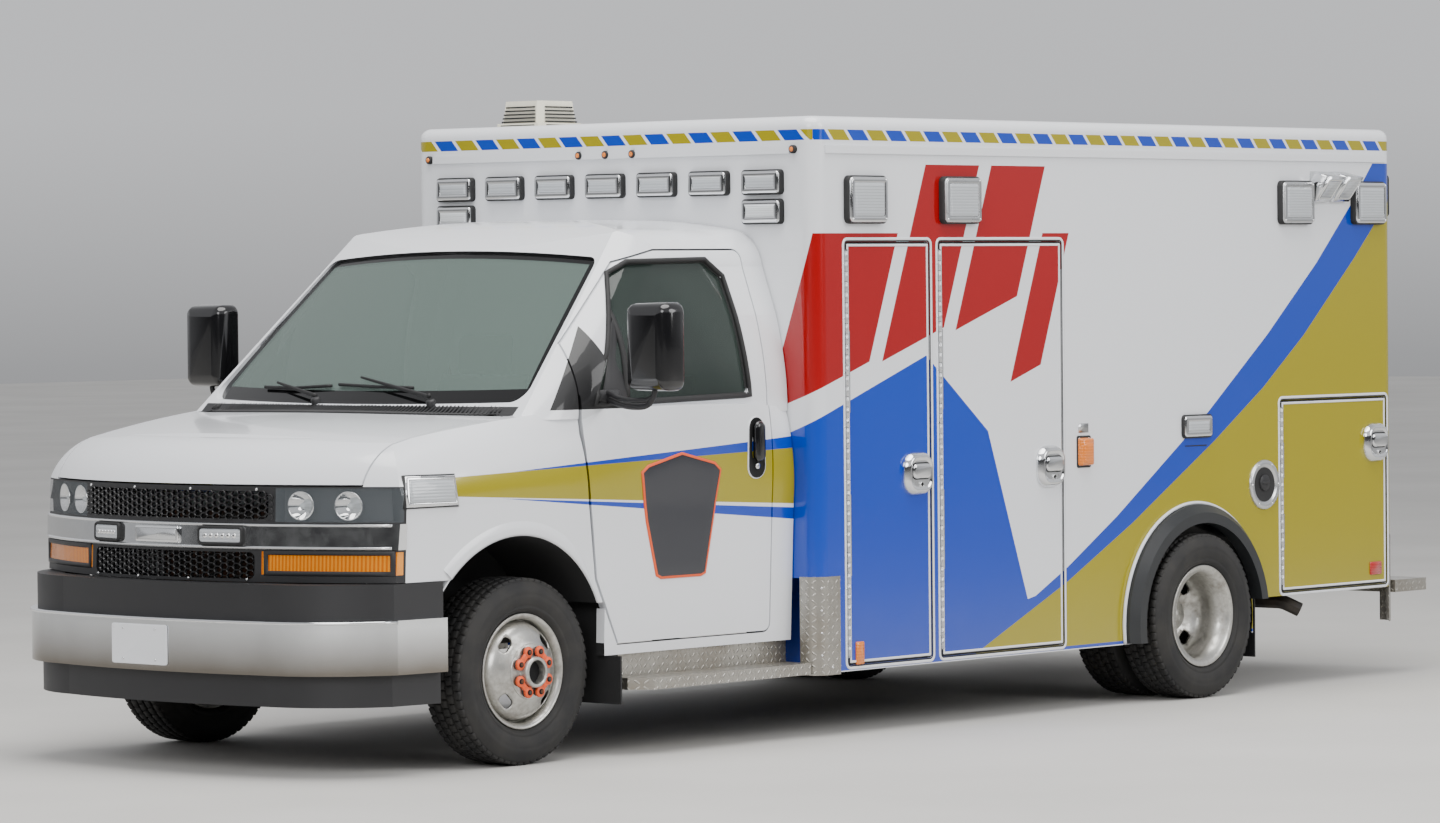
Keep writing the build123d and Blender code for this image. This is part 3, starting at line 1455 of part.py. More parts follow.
# Lamps on the module: a tray and a lens each, standing on the walls
# columns: place from the front axle on the left side and on the right, height, size along, size up, proud
side_lamps = (
    (-1838, -1838, 2155, 235, 185, 40),
    (-2443, -3110, 2155, 235, 185, 40),
    (-4815, -4815, 2155, 235, 185, 40),
    (-5380, -5380, 2155, 235, 185, 40),
    (-4075, -4075, 1180, 200, 92, 22),
)
lamp_corner = 12
lamp_taper = 12
flood_x = (-5005, -5150)
flood_size = 125
# columns: out from the wall, height
flood_section = ((0, 2295), (110, 2268), (24, 2160), (0, 2160))
lamp_pitch = 287
front_lamp_rows = [(i * lamp_pitch, 2228, 200, 92, 26) for i in range(-3, 4)]
front_lamp_rows += [(side * 3 * lamp_pitch, 2110, 200, 92, 26) for side in (-1, 1)]
rear_lamps = [(side * y, z, w, h, 30) for side in (-1, 1) for y, z, w, h in (
    (960, 2190, 235, 185), (940, 1000, 120, 400), (560, 2245, 200, 92))]
rear_lamps += [(0, 2245, 200, 92, 30)]
with BuildPart() as module_lamps:
    for side in (1, -1):
        plane = Plane(origin=(0, side * module_half, 0), x_dir=(1, 0, 0), z_dir=(0, side, 0))
        up = (plane.y_dir.Z > 0) * 2 - 1
        for left_x, right_x, z, wide, high, proud in side_lamps:
            x = left_x if side > 0 else right_x
            with BuildSketch(plane):
                with Locations((at(x), up * z)):
                    add(cut_corner(wide, high, lamp_corner))
            extrude(amount=proud, taper=lamp_taper)
    for y, z, wide, high, proud in front_lamp_rows:
        with BuildSketch(Plane.YZ.offset(at(module_front))):
            with Locations((y, z)):
                add(cut_corner(wide, high, lamp_corner))
        extrude(amount=proud, taper=lamp_taper)
    for y, z, wide, high, proud in rear_lamps:
        with BuildSketch(Plane.YZ.offset(at(module_rear))):
            with Locations((y, z)):
                add(cut_corner(wide, high, lamp_corner))
        extrude(amount=-proud, taper=lamp_taper)
    # flood lamps: paired wedges near the rear of each side
    for side in (1, -1):
        for x in flood_x:
            with BuildSketch(Plane.YZ.offset(at(x - flood_size / 2))):
                with BuildLine():
                    Polyline(*[(side * (module_half + out), z) for out, z in flood_section], close=True)
                make_face()
            extrude(amount=flood_size)
keep(module_lamps, "module_lamps")

# Fuel filler pocket, power inlet and roof vent
filler_x = -4576
filler_z = 908
filler_radius = 108
filler_bowl = 78
filler_proud = 12
filler_depth = 8
inlet_x = -3275
inlet_z = 1094
inlet_size = (88, 130)
inlet_proud = 34
vent_x = -1950
vent_y = -780
vent_base = 270
vent_lip = 22
vent_width = 245
vent_height = 95
with BuildPart() as side_ports:
    with BuildSketch(Plane.XZ.offset(-module_half)):
        with Locations((at(filler_x), filler_z)):
            Circle(filler_radius)
    extrude(amount=-filler_proud)
    with BuildSketch(Plane.XZ.offset(-module_half - filler_proud)):
        with Locations((at(filler_x), filler_z)):
            Circle(filler_bowl)
    extrude(amount=filler_depth, mode=Mode.SUBTRACT)
    with BuildSketch(Plane.XZ.offset(-module_half)):
        with Locations((at(inlet_x), inlet_z)):
            add(cut_corner(inlet_size[0], inlet_size[1], 8))
    extrude(amount=-inlet_proud, taper=8)
keep(side_ports, "side_ports")

with BuildPart() as roof_vent:
    with BuildSketch(Plane.XY.offset(module_top_z)):
        with Locations((at(vent_x), vent_y)):
            add(cut_corner(vent_base, vent_base, 16))
    extrude(amount=vent_lip)
    with BuildSketch(Plane.XY.offset(module_top_z + vent_lip)):
        with Locations((at(vent_x), vent_y)):
            add(cut_corner(vent_width, vent_width, 26))
    extrude(amount=vent_height, taper=8)
keep(roof_vent, "roof_vent")

# Diamond plate: running boards, corner guards and the rear step
board_z = (256, 302)
board_front = -521
board_outer_y = 1090
board_inner_y = 880
board_chamfer = 75
kick_y = 955
board_clear = 5
with BuildPart() as running_boards:
    for side in (1, -1):
        with BuildSketch(Plane.XY.offset(board_z[0])):
            with BuildLine():
                Polyline(
                    (at(module_front + board_clear), side * board_inner_y),
                    (at(board_front), side * board_inner_y),
                    (at(board_front), side * (board_outer_y - board_chamfer)),
                    (at(board_front - board_chamfer), side * board_outer_y),
                    (at(module_front + board_clear), side * board_outer_y), close=True,
                )
            make_face()
        extrude(amount=board_z[1] - board_z[0])
        add(box_between(board_front - 10, module_front + board_clear, side * kick_y, side * (kick_y - 4),
                        board_z[1] - 2, cab_foot_z))
        add(box_between(-700, -760, side * kick_y, side * (rail_y + seat_gap), 310, cab_foot_z - 1))
        add(box_between(-1300, -1360, side * kick_y, side * (rail_y + seat_gap), 310, cab_foot_z - 1))
        add(box_between(-700, -760, side * (rail_y + 30), side * (rail_y + seat_gap), 310, rail_bottom_z + 60))
        add(box_between(-1300, -1360, side * (rail_y + 30), side * (rail_y + seat_gap), 310, rail_bottom_z + 60))
keep(running_boards, "running_boards")

guard_thickness = 3
guard_z = (250, 645)
with BuildPart() as corner_guards:
    with BuildSketch(Plane.XY.offset(guard_z[0])):
        with Locations((module_mid_x, 0)):
            RectangleRounded(module_length + 2 * guard_thickness, 2 * (module_half + guard_thickness),
                             module_corner + guard_thickness)
            RectangleRounded(module_length, 2 * module_half, module_corner, mode=Mode.SUBTRACT)
    extrude(amount=guard_z[1] - guard_z[0])
    add(box_between(module_front - 140, module_rear + 60, -1200, 1200, 200, 700), mode=Mode.SUBTRACT)
    add(box_between(module_front + 20, module_rear - 20, -1030, 1030, 200, 700), mode=Mode.SUBTRACT)
keep(corner_guards, "corner_guards")

step_z = (378, 434)
step_end = -(wheelbase + rear_overhang)
with BuildPart() as rear_step:
    with BuildSketch(Plane.XY.offset(step_z[0])):
        with Locations((at((module_rear - 8 + step_end) / 2), 0)):
            Rectangle(module_rear - 8 - step_end, 2 * 1110)
    extrude(amount=step_z[1] - step_z[0])
    for side in (1, -1):
        add(box_between(module_rear - 20, rail_rear + 60, side * 340,
                        side * (rail_y - rail_flange - seat_gap), step_z[0], rail_bottom_z + 90))
keep(rear_step, "rear_step")

# Mud flaps behind the front and rear wheels
flap_thickness = 8
front_flap_x = -448
front_flap_top = cab_floor_z - floor_thickness - seat_gap
rear_flap_x = -4508
rear_flap_top = module_floor_z - module_wall - seat_gap
with BuildPart() as mud_flaps:
    for side in (1, -1):
        add(box_between(front_flap_x, front_flap_x - flap_thickness, side * 780, side * 1045,
                        205, cab_foot_z - seat_gap))
        add(box_between(front_flap_x, front_flap_x - flap_thickness, side * 780, side * 930,
                        cab_foot_z - seat_gap, front_flap_top))
        add(box_between(rear_flap_x, rear_flap_x - flap_thickness, side * 725, side * 1112, 148, rear_skirt_z - 4))
        add(box_between(rear_flap_x, rear_flap_x - flap_thickness, side * 725, side * (inner_side_y - 2),
                        rear_skirt_z - 4, rear_flap_top))
keep(mud_flaps, "mud_flaps")
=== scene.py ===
import math

import bmesh
import bpy
from mathutils import Matrix, Vector

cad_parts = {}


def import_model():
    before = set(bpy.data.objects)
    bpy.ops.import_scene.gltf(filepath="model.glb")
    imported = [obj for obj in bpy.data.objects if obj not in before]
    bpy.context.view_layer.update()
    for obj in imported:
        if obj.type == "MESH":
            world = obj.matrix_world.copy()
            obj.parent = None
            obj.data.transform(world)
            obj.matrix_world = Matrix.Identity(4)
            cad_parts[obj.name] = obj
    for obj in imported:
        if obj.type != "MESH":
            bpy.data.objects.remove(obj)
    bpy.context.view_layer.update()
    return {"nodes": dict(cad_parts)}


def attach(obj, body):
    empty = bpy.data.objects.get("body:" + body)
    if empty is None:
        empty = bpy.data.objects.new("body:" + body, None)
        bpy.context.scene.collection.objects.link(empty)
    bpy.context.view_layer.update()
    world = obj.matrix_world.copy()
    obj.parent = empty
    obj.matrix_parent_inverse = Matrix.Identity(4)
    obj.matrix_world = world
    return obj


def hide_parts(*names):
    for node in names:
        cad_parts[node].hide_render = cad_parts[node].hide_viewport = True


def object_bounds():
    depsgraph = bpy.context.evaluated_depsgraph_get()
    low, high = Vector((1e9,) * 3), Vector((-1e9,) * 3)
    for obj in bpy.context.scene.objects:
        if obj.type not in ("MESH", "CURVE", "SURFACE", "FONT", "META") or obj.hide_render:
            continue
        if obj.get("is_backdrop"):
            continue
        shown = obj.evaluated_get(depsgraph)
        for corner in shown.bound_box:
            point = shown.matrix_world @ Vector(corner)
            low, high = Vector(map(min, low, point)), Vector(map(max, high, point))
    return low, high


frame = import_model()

# The frame in metres: +X forward, +Y to the driver's side, +Z up, ground at Z = 0
front_axle_x = 2.4025
wheelbase = 4.039
module_front, module_rear, module_half = -1.53, -5.6, 1.12
side_names = ((1, "left"), (-1, "right"))
# centres of the wheel arches, from the front axle and up
front_arch_x, front_arch_z = 0.06, 0.385
rear_arch_x, rear_arch_z = -4.055, 0.335


def at(x):
    """Place along the vehicle, from the front axle."""
    return front_axle_x + x


class Field:
    """A shader socket that works in expressions like a number."""

    def __init__(self, finish, socket):
        self.finish = finish
        self.socket = socket

    def maths(self, operation, *others):
        return self.finish.node("Math", {"operation": operation}, self, *others)

    def __rsub__(self, other):
        return self.finish.node("Math", {"operation": "SUBTRACT"}, other, self)

    def __neg__(self):
        return self * -1.0

    def __abs__(self):
        return self.maths("ABSOLUTE")

    def sine(self):
        return self.maths("SINE")

    def clamp(self):
        return self.finish.node("Clamp", {}, self, 0.0, 1.0)

    def between(self, low, high):
        return (self > low) * (self < high)

    def spread(self, low, high, from_low=0.0, from_high=1.0):
        """The field's range from_low to from_high, laid on low to high."""
        return self.finish.node("MapRange", {}, self, from_low, from_high, low, high)


for method, operation in (("__add__", "ADD"), ("__radd__", "ADD"), ("__sub__", "SUBTRACT"), ("__mul__", "MULTIPLY"),
                          ("__rmul__", "MULTIPLY"), ("__truediv__", "DIVIDE"), ("__mod__", "FLOORED_MODULO"),
                          ("__gt__", "GREATER_THAN"), ("__lt__", "LESS_THAN"), ("most", "MAXIMUM"),
                          ("power", "POWER")):
    setattr(Field, method, lambda self, other, operation=operation: self.maths(operation, other))


class Finish:
    """A material made of one Principled shader and the fields that feed it."""

    def __init__(self, name, colour, rough=0.5, metal=0.0):
        self.material = bpy.data.materials.new(name)
        self.material.use_nodes = True
        self.tree = self.material.node_tree
        self.shader = self.tree.nodes["Principled BSDF"]
        self.coordinates = self.node("TexCoord", out="Object")
        self.place = self.parts(self.coordinates)
        self.set(Base_Color=(*colour, 1.0), Roughness=rough, Metallic=metal)

    def set(self, **values):
        for name, value in values.items():
            self.feed(self.shader.inputs[name.replace("_", " ")], value)
        return self

    def feed(self, socket, value):
        if isinstance(value, Field):
            self.tree.links.new(value.socket, socket)
        else:
            socket.default_value = value

    def node(self, kind, settings=None, *values, out=0, **named):
        made = self.tree.nodes.new("ShaderNode" + kind)
        for key, value in (settings or {}).items():
            setattr(made, key, value)
        for key, value in [*enumerate(values), *named.items()]:
            self.feed(made.inputs[key], value)
        return Field(self, made.outputs[out])

    def parts(self, vector):
        """The three numbers of a vector, as fields."""
        split = self.tree.nodes.new("ShaderNodeSeparateXYZ")
        self.feed(split.inputs[0], vector)
        return tuple(Field(self, socket) for socket in split.outputs)

    def facing(self):
        """The three parts of the surface's own direction."""
        return self.parts(self.node("NewGeometry", out="Normal"))

    def noise(self, scale, detail=3.0):
        return self.node("TexNoise", {}, Vector=self.coordinates, Scale=scale, Detail=detail, Roughness=0.55)

    def mix(self, mask, under, over):
        """Colours mixed by a field: under where it is 0, over where it is 1."""
        made = self.tree.nodes.new("ShaderNodeMix")
        made.data_type = "RGBA"
        for key, value in ((0, mask), (6, under), (7, over)):
            self.feed(made.inputs[key], value if isinstance(value, Field) else (*value, 1.0))
        return Field(self, made.outputs[2])

    def bump(self, height, strength, depth):
        return self.set(Normal=self.node("Bump", {}, Strength=strength, Distance=depth, Height=height))


def tint(r, g, b):
    """Colour from eight bit display values."""
    return tuple(c / 12.92 if c <= 0.04045 else ((c + 0.055) / 1.055) ** 2.4 for c in (r / 255, g / 255, b / 255))


white, blue, yellow, red = tint(232, 234, 238), tint(0, 58, 176), tint(158, 146, 0), tint(158, 0, 6)
dark = tint(26, 26, 27)


def all_of(masks):
    whole = masks[0]
    for mask in masks[1:]:
        whole = whole * mask
    return whole


def any_of(masks):
    whole = masks[0]
    for mask in masks[1:]:
        whole = whole.most(mask)
    return whole


def above(u, v, line):
    """Mask of what lies to the left of every stretch of a line, drawn in two fields."""
    return all_of([(v - v0) * (u1 - u0) - (u - u0) * (v1 - v0) > 0.0
                   for (u0, v0), (u1, v1) in zip(line, line[1:])])


def gloss(finish, rough=0.16):
    """Clear coat over paint, with faint orange peel."""
    finish.bump(finish.noise(260.0, 2.0), 0.03, 0.0004)
    return finish.set(Roughness=finish.noise(1.7, 4.0).spread(rough - 0.04, rough + 0.1), Coat_Weight=0.5,
                      Coat_Roughness=0.05)


def darker_low_down(finish, colour, top, amount):
    """Colour that turns darker and warmer towards the road, in patches."""
    low = finish.place[2].spread(1.0, 0.0, 0.2, top)
    mask = (low * amount * (finish.noise(6.0, 5.0) + 0.35)).clamp()
    return finish.mix(mask, colour, tint(150, 142, 130))


# Side livery: coordinates are how far behind the module's front, and the height
stripe_top = ((1.02, 0.42), (1.409, 0.499), (1.633, 0.611), (1.98, 0.813), (2.631, 1.236), (3.083, 1.573),
              (3.458, 1.885), (3.738, 2.155), (3.9, 2.332))
stripe_foot = ((0.9, 0.235), (1.028, 0.29), (1.632, 0.55), (2.083, 0.777), (2.682, 1.113), (3.048, 1.339),
               (3.356, 1.564), (3.754, 1.907), (4.07, 2.205))
blue_field = ((-0.2, 0.25), (1.12, 0.25), (1.36, 0.48), (1.1, 1.2), (0.7, 1.52), (-0.2, 1.2), (-0.2, 0.25))
# leaning red bars. columns: start, end, foot, head
red_bars = ((-0.3, 0.23, 1.3, 2.02), (0.31, 0.66, 1.5, 2.3), (0.74, 1.1, 1.62, 2.3), (1.18, 1.36, 1.4, 2.02))
cell_pitch = 0.1205


def livery(finish):
    x, y, z = finish.place
    nx, _, nz = finish.facing()
    behind = at(module_front) - x
    # the front wall's outer strip continues the side's pattern round the corner
    run = behind - (module_half - abs(y)).most(0.0) * (behind < 0.06)
    walls = (abs(nz) < 0.6) * (z < 2.335) * (z > 0.262)
    colour = finish.mix(above(run, z, blue_field) * walls, white, blue)
    lean = run - (z - 1.2) * 0.36
    bars = any_of([lean.between(start, end) * (z < head) * (z > foot + (lean - start) * 0.38)
                   for start, end, foot, head in red_bars])
    colour = finish.mix(bars * walls * (behind > -0.02), colour, red)
    colour = finish.mix((1.0 - above(run, z, stripe_top)) * walls * (run > 0.9), colour, blue)
    colour = finish.mix((1.0 - above(run, z, stripe_foot)) * walls * (z > 0.275), colour, yellow)
    # bright cells under the roof edge
    cell = run * (nx < 0.7) * (nx > -0.7) + y * (nx > 0.7).most(nx < -0.7)
    phase = ((cell + (z - 2.39) * 0.9 + 100 * cell_pitch) / cell_pitch) % 2.0
    band = z.between(2.393, 2.436) * (phase % 1.0).between(0.08, 0.92) * (abs(y) < 1.2)
    return finish.mix(band, colour, finish.mix(phase > 1.0, blue, yellow))


def unlit(finish, axle_x, axle_z, reach, y_limit):
    """Mask of the wheelhouses and the underside, which are darkened as painted shade."""
    x, y, z = finish.place
    ahead = x - at(axle_x)
    house = ahead * ahead + (z - axle_z) * (z - axle_z) < reach * reach
    below = (finish.facing()[2] < -0.7) * (z < 0.66)
    if y_limit:
        house, below = house * (abs(y) < y_limit - 0.002), below * (abs(y) < y_limit - 0.03)
    mask = house.most(below)
    finish.set(Coat_Weight=0.5 - mask * 0.5)
    return mask


def module_paint():
    finish = gloss(Finish("module_paint", white))
    x, y, z = finish.place
    # hinge leaves and gutters stand proud of the walls and are bare metal
    leaves = ((abs(y) > module_half + 0.0012) * (z < 2.3)).most(x < at(module_rear) - 0.0012)
    colour = finish.mix(leaves, darker_low_down(finish, livery(finish), 0.6, 0.1), tint(196, 198, 200))
    # painted shade: the wheelhouse and the downward faces turn dark
    shade = unlit(finish, rear_arch_x, rear_arch_z, 0.47, module_half)
    return finish.set(Metallic=leaves, Base_Color=finish.mix(shade, colour, dark))


# Stripes along the cab. columns: height at the start, the start, slope, how far forward it runs out
cab_stripes = ((1.124, 0.03, -0.0545, 0.1), (1.022, 0.16, 0.0585, 0.16))


def cab_paint():
    finish = gloss(Finish("cab_paint", white))
    x, y, z = finish.place
    ahead = x - at(0.0)
    colour = finish.mix(abs(z - (ahead * 0.01 + 1.07)) < ahead.spread(0.115, 0.036, -1.52, 0.4), white, yellow)
    for level, start, slope, runs_out in cab_stripes:
        over = z - ((ahead - start) * slope + level)
        colour = finish.mix((over < 0.0) * (over > -ahead.spread(0.046, 0.0, -1.52, runs_out)), colour, blue)
    colour = finish.mix((abs(y) > 0.8) * (z < 1.3) * (ahead < 0.4), white, colour)
    # dark corner between the mirror and the windscreen
    corner = above(ahead, z, ((-0.56, 1.345), (-0.17, 1.345), (-0.44, 1.665), (-0.56, 1.345))) * (abs(y) > 0.7)
    colour = finish.mix(corner, colour, tint(18, 18, 20))
    # painted shade: the wheelhouse and the downward faces turn dark
    shade = unlit(finish, front_arch_x, front_arch_z, 0.4932, None)
    finish.set(Roughness=(corner * 0.35 + 0.2 + shade * 0.6).clamp())
    return finish.set(Base_Color=finish.mix(shade, darker_low_down(finish, colour, 0.75, 0.12), dark))


def window_glass(name):
    finish = Finish(name, dark, 0.03)
    cloud = finish.noise(0.9, 2.0).spread(0.0, 1.0, 0.4, 0.6)
    return finish.set(Base_Color=finish.mix(cloud, tint(46, 56, 52), tint(64, 74, 69)), Alpha=0.72)


def screen_glass():
    """Windscreen with the black printed border."""
    finish = Finish("windscreen_glass", dark, 0.03)
    x, y, z = finish.place
    across = abs(y)
    bulge = across * across
    border = any_of([across > 0.838 - (z - 1.378) * 0.243, z < bulge * 0.016 + 1.416, z > 1.932 - bulge * 0.058])
    return finish.set(Base_Color=finish.mix(border, tint(104, 120, 114), tint(14, 14, 15)),
                      Alpha=border.spread(0.58, 1.0))


def lamp_cover():
    """Clear cover over the headlamps' bowls, ribbed amber below."""
    finish = Finish("lamp_cover", dark, 0.05)
    x, y, z = finish.place
    low = z < 0.86
    ribs = (y * (2 * math.pi / 0.014)).sine()
    # painted highlight: the amber ribs are striped with a lighter amber
    shade = finish.mix(ribs.spread(0.0, 1.0, -1.0, 1.0), tint(206, 104, 10), tint(238, 150, 34))
    finish.set(Base_Color=finish.mix(low, tint(150, 158, 164), shade), Alpha=low.spread(0.24, 1.0), Coat_Weight=0.6)
    return finish.bump(ribs * low, 0.35, 0.001)


def moulded(name, colour, rough=0.5, grain=420.0, strength=0.12):
    finish = Finish(name, colour)
    finish.bump(finish.noise(grain, 2.0), strength, 0.0006)
    cloud = finish.noise(9.0, 4.0)
    worn = tuple(min(1, c * 1.6 + 0.006) for c in colour)
    return finish.set(Roughness=cloud.spread(rough - 0.08, rough + 0.1),
                      Base_Color=finish.mix(cloud.spread(0.0, 0.5), colour, worn))


def plain_paint(name, colour, rough=0.16):
    """One colour under a clear coat."""
    finish = gloss(Finish(name, colour), rough)
    return finish.set(Base_Color=darker_low_down(finish, colour, 0.6, 0.1))


def bright(name, rough, colour):
    finish = Finish(name, colour, metal=1.0)
    return finish.set(Roughness=finish.noise(14.0, 5.0).spread(rough - 0.02, rough + 0.04, 0.35, 0.7))


def bumper_chrome():
    """Chrome that is dimmer, browner and rougher low down."""
    finish = Finish("bumper_chrome", dark, metal=1.0)
    lower_share = (finish.place[2] + finish.noise(3.0, 4.0) * 0.05).spread(1.0, 0.0, 0.42, 0.585)
    return finish.set(Base_Color=finish.mix(lower_share, tint(226, 228, 230), tint(132, 126, 118)),
                      Roughness=lower_share.spread(0.06, 0.2))


# Clouded solids. columns: name, roughness, metal, cloud's scale, colours, their share and stops, and the grain's
# scale, detail, strength and depth
clouded = {
    "rubber": ("tyre_rubber", 0.72, 0.0, 9.0, (27, 27, 28), (62, 59, 54), (0.0, 0.5, 0.35, 0.8),
               (160.0, 3.0, 0.25, 0.0008)),
    "frame": ("painted_frame", 0.6, 0.0, 7.0, (24, 24, 25), (88, 78, 66), (0.0, 0.8, 0.4, 0.8),
              (120.0, 3.0, 0.2, 0.001)),
    "iron": ("rough_iron", 0.75, 0.4, 13.0, (74, 72, 70), (104, 66, 44), (0.0, 1.0, 0.42, 0.62),
             (95.0, 4.0, 0.4, 0.0015)),
}


def cloudy(name, rough, metal, scale, under, over, stops, grain):
    finish = Finish(name, dark, rough, metal)
    finish.set(Base_Color=finish.mix(finish.noise(scale, 5.0).spread(*stops), tint(*under), tint(*over)))
    return finish.bump(finish.noise(*grain[:2]), *grain[2:])


def dusty_steel():
    finish = Finish("dusty_steel", dark)
    grime = finish.noise(46.0, 4.0)
    mask = (finish.noise(11.0, 5.0) * 0.6 + grime * 0.5).spread(0.0, 0.7, 0.5, 0.78)
    finish.set(Base_Color=finish.mix(mask, tint(196, 195, 190), tint(112, 102, 88)), Metallic=1.0 - mask * 0.8,
               Roughness=mask.spread(0.32, 0.8))
    return finish.bump(grime, 0.15, 0.001)


def diamond_plate():
    """Raised bars that alternate in direction, on whichever wall or tread they lie."""
    finish = Finish("diamond_plate", dark, metal=0.9)
    x, y, z = finish.place
    nx, _, nz = finish.facing()
    flat = abs(nz) > 0.6
    endwise = (abs(nx) > 0.6) * (1.0 - flat)
    u = x * (1.0 - endwise) + y * endwise
    v = z * (1.0 - flat) + y * flat
    pitch = 0.026
    bars = []
    for turn in (0, 1):
        a, b = (u + v + turn * pitch) / (2 * pitch), (u - v + turn * pitch) / (2 * pitch)
        along, across = (a, b) if turn else (b, a)
        long_way, short_way = (abs(way % 1.0 - 0.5) * 2.0 for way in (along, across))
        bars.append((1.0 - (long_way / 0.62).power(2.0) - (short_way / 0.2).power(2.0)).clamp())
    height = any_of(bars)
    dust = finish.noise(5.0, 5.0).spread(0.0, 0.8, 0.4, 0.75)
    top = (height * 6.0).clamp()
    finish.set(Base_Color=finish.mix(dust * (1.0 - top * 0.7), tint(176, 173, 166), tint(128, 118, 102)),
               Roughness=dust.spread(0.28, 0.6))
    return finish.bump(height.power(0.5), 0.9, 0.0022)


def lens(name, colour, pitch=0.012, rough=0.12):
    """Ribbed lamp lens over a bright reflector, its ribs striped with painted highlight."""
    finish = Finish(name, colour, rough)
    ribs = (finish.place[2] * (2 * math.pi / pitch)).sine()
    # painted highlight: a lighter copy of the lens colour along each rib
    lit = tuple(min(1.0, c * 1.35 + 0.04) for c in colour)
    finish.set(Base_Color=finish.mix(ribs.spread(0.0, 0.35, -1.0, 1.0), colour, lit), Coat_Weight=0.6)
    return finish.bump(ribs, 0.35, 0.001)


def woven():
    finish = Finish("seat_cloth", dark, 0.9)
    x, y, z = finish.place
    threads = (y * 2600.0).sine() * ((x + z) * 2600.0).sine()
    finish.set(Base_Color=finish.mix(threads.spread(0.0, 1.0, -1.0, 1.0), tint(84, 80, 76), tint(120, 115, 108)),
               Sheen_Weight=0.3)
    return finish.bump(threads, 0.3, 0.0008)


finishes = {
    "module": module_paint(), "cab": cab_paint(), "glass": window_glass("window_glass"), "screen": screen_glass(),
    "lamp_cover": lamp_cover(), "bumper": bumper_chrome(), "steel": dusty_steel(), "plate": diamond_plate(),
    "cloth": woven(),
    "black": moulded("black_plastic", tint(30, 30, 32)),
    "soft_black": moulded("black_rubber", tint(26, 26, 27), 0.62, 300.0, 0.18),
    "cream": moulded("cream_plastic", tint(214, 208, 190), 0.45, 200.0, 0.05),
    "inner": moulded("cab_trim", tint(120, 116, 110), 0.6),
    "orange": moulded("orange_plastic", tint(228, 84, 36), 0.4, 300.0, 0.05),
    "flare": moulded("flare_rubber", tint(34, 36, 38), 0.4, 300.0, 0.06),
    "void": moulded("unlit_inside", tint(8, 8, 9), 0.85),
    "white": plain_paint("white_enamel", white),
    "gloss_black": plain_paint("black_enamel", tint(16, 16, 18), 0.1),
    "plaque": plain_paint("plaque_face", tint(34, 36, 44), 0.22),
    "bright": bright("bright_metal", 0.09, (0.78, 0.79, 0.8)),
    "silver": bright("satin_aluminium", 0.28, (0.62, 0.63, 0.64)),
    "mirror": bright("mirror_glass", 0.04, (0.86, 0.88, 0.89)),
    "reflector": bright("lamp_bowl", 0.06, (0.9, 0.9, 0.9)),
    "clear": lens("clear_lens", tint(176, 180, 184)),
    "amber": lens("amber_lens", tint(226, 120, 12)),
    "red": lens("red_lens", tint(170, 20, 14)),
    "frosted": lens("frosted_lens", tint(206, 210, 212), 0.009, 0.35),
    **{key: cloudy(*row) for key, row in clouded.items()},
}

node_finish = {
    "module": "module_shell locker_door_front_left locker_door_middle_left locker_door_rear_left "
              "locker_door_rear_right entry_door_right rear_door_left rear_door_right",
    "cab": "cab_shell hood cab_door_left cab_door_right", "screen": "windscreen", "flare": "wheel_flares",
    "glass": "door_glass_left door_glass_right entry_glass_right rear_glass_left rear_glass_right",
    "black": "cowl front_mask grille_mesh bumper_pads mirror_left mirror_right steering_wheel side_ports",
    "inner": "dashboard", "soft_black": "mud_flaps", "bright": "grille_bar", "bumper": "front_bumper",
    "rubber": "front_tyre_left front_tyre_right rear_tyres_left rear_tyres_right",
    "steel": "front_wheel_left front_wheel_right rear_wheels_left rear_wheels_right",
    "frame": "chassis_frame front_suspension rear_axle fuel_tank exhaust",
    "iron": "knuckle_left knuckle_right engine_block",
    "plate": "running_boards corner_guards rear_step", "clear": "module_lamps", "lamp_cover": "front_lamps",
    "cloth": "cab_seats", "cream": "roof_vent",
}
for key, names in node_finish.items():
    for name in names.split():
        materials = frame["nodes"][name].data.materials
        materials.clear()
        materials.append(finishes[key].material)


# Shapes. Lengths are metres; a place is a local frame whose Z points out of the surface it lies on

def on(normal, x, y, z):
    """Place on a surface: X to the right as seen from outside, Y up; x runs from the front axle."""
    out = Vector(normal).normalized()
    right_hand = Vector((0, 0, 1)).cross(out)
    if right_hand.length < 0.01:
        right_hand = Vector((0, 1, 0))
    right_hand.normalize()
    basis = Matrix((right_hand, out.cross(right_hand), out)).transposed().to_4x4()
    return Matrix.Translation((at(x), y, z)) @ basis


def side_on(s, x, z):
    """Place on the module's side wall."""
    return on((0, s, 0), x, s * module_half, z)


def rear_on(y, z, proud=0.0):
    """Place on the module's rear wall, or a little behind it."""
    return on((-1, 0, 0), module_rear - proud, y, z)


def spun(turn, axis="Z"):
    return Matrix.Rotation(turn, 4, axis)


def moved(x, y, z):
    return Matrix.Translation((x, y, z))


def round_points(radius, steps):
    return [(radius * math.cos(a), radius * math.sin(a)) for a in (2 * math.pi * i / steps for i in range(steps))]


def oblong(width, height, radius, steps=5, along=0):
    """Rectangle with rounded corners, as a function of how far it is drawn in.

    Along is how many extra points lie on its top and foot, so that it can bend.
    """
    def outline(inset=0.0):
        w, h = width / 2 - inset, height / 2 - inset
        r = min(max(radius - inset, 0.0004), w, h)
        drawn = []
        for sx, sy, start in ((1, -1, -90), (1, 1, 0), (-1, 1, 90), (-1, -1, 180)):
            turns = [math.radians(start + 90 * i / steps) for i in range(steps + 1)]
            drawn += [(sx * (w - r) + r * math.cos(a), sy * (h - r) + r * math.sin(a)) for a in turns]
            if sx == sy:
                drawn += [(sx * (w - r) * (1 - 2 * k / (along + 1)), sy * h) for k in range(1, along + 1)]
        return drawn
    return outline


def disc(radius, steps=32):
    """Circle, as a function of how far it is drawn in."""
    return lambda inset=0.0: round_points(radius - inset, steps)


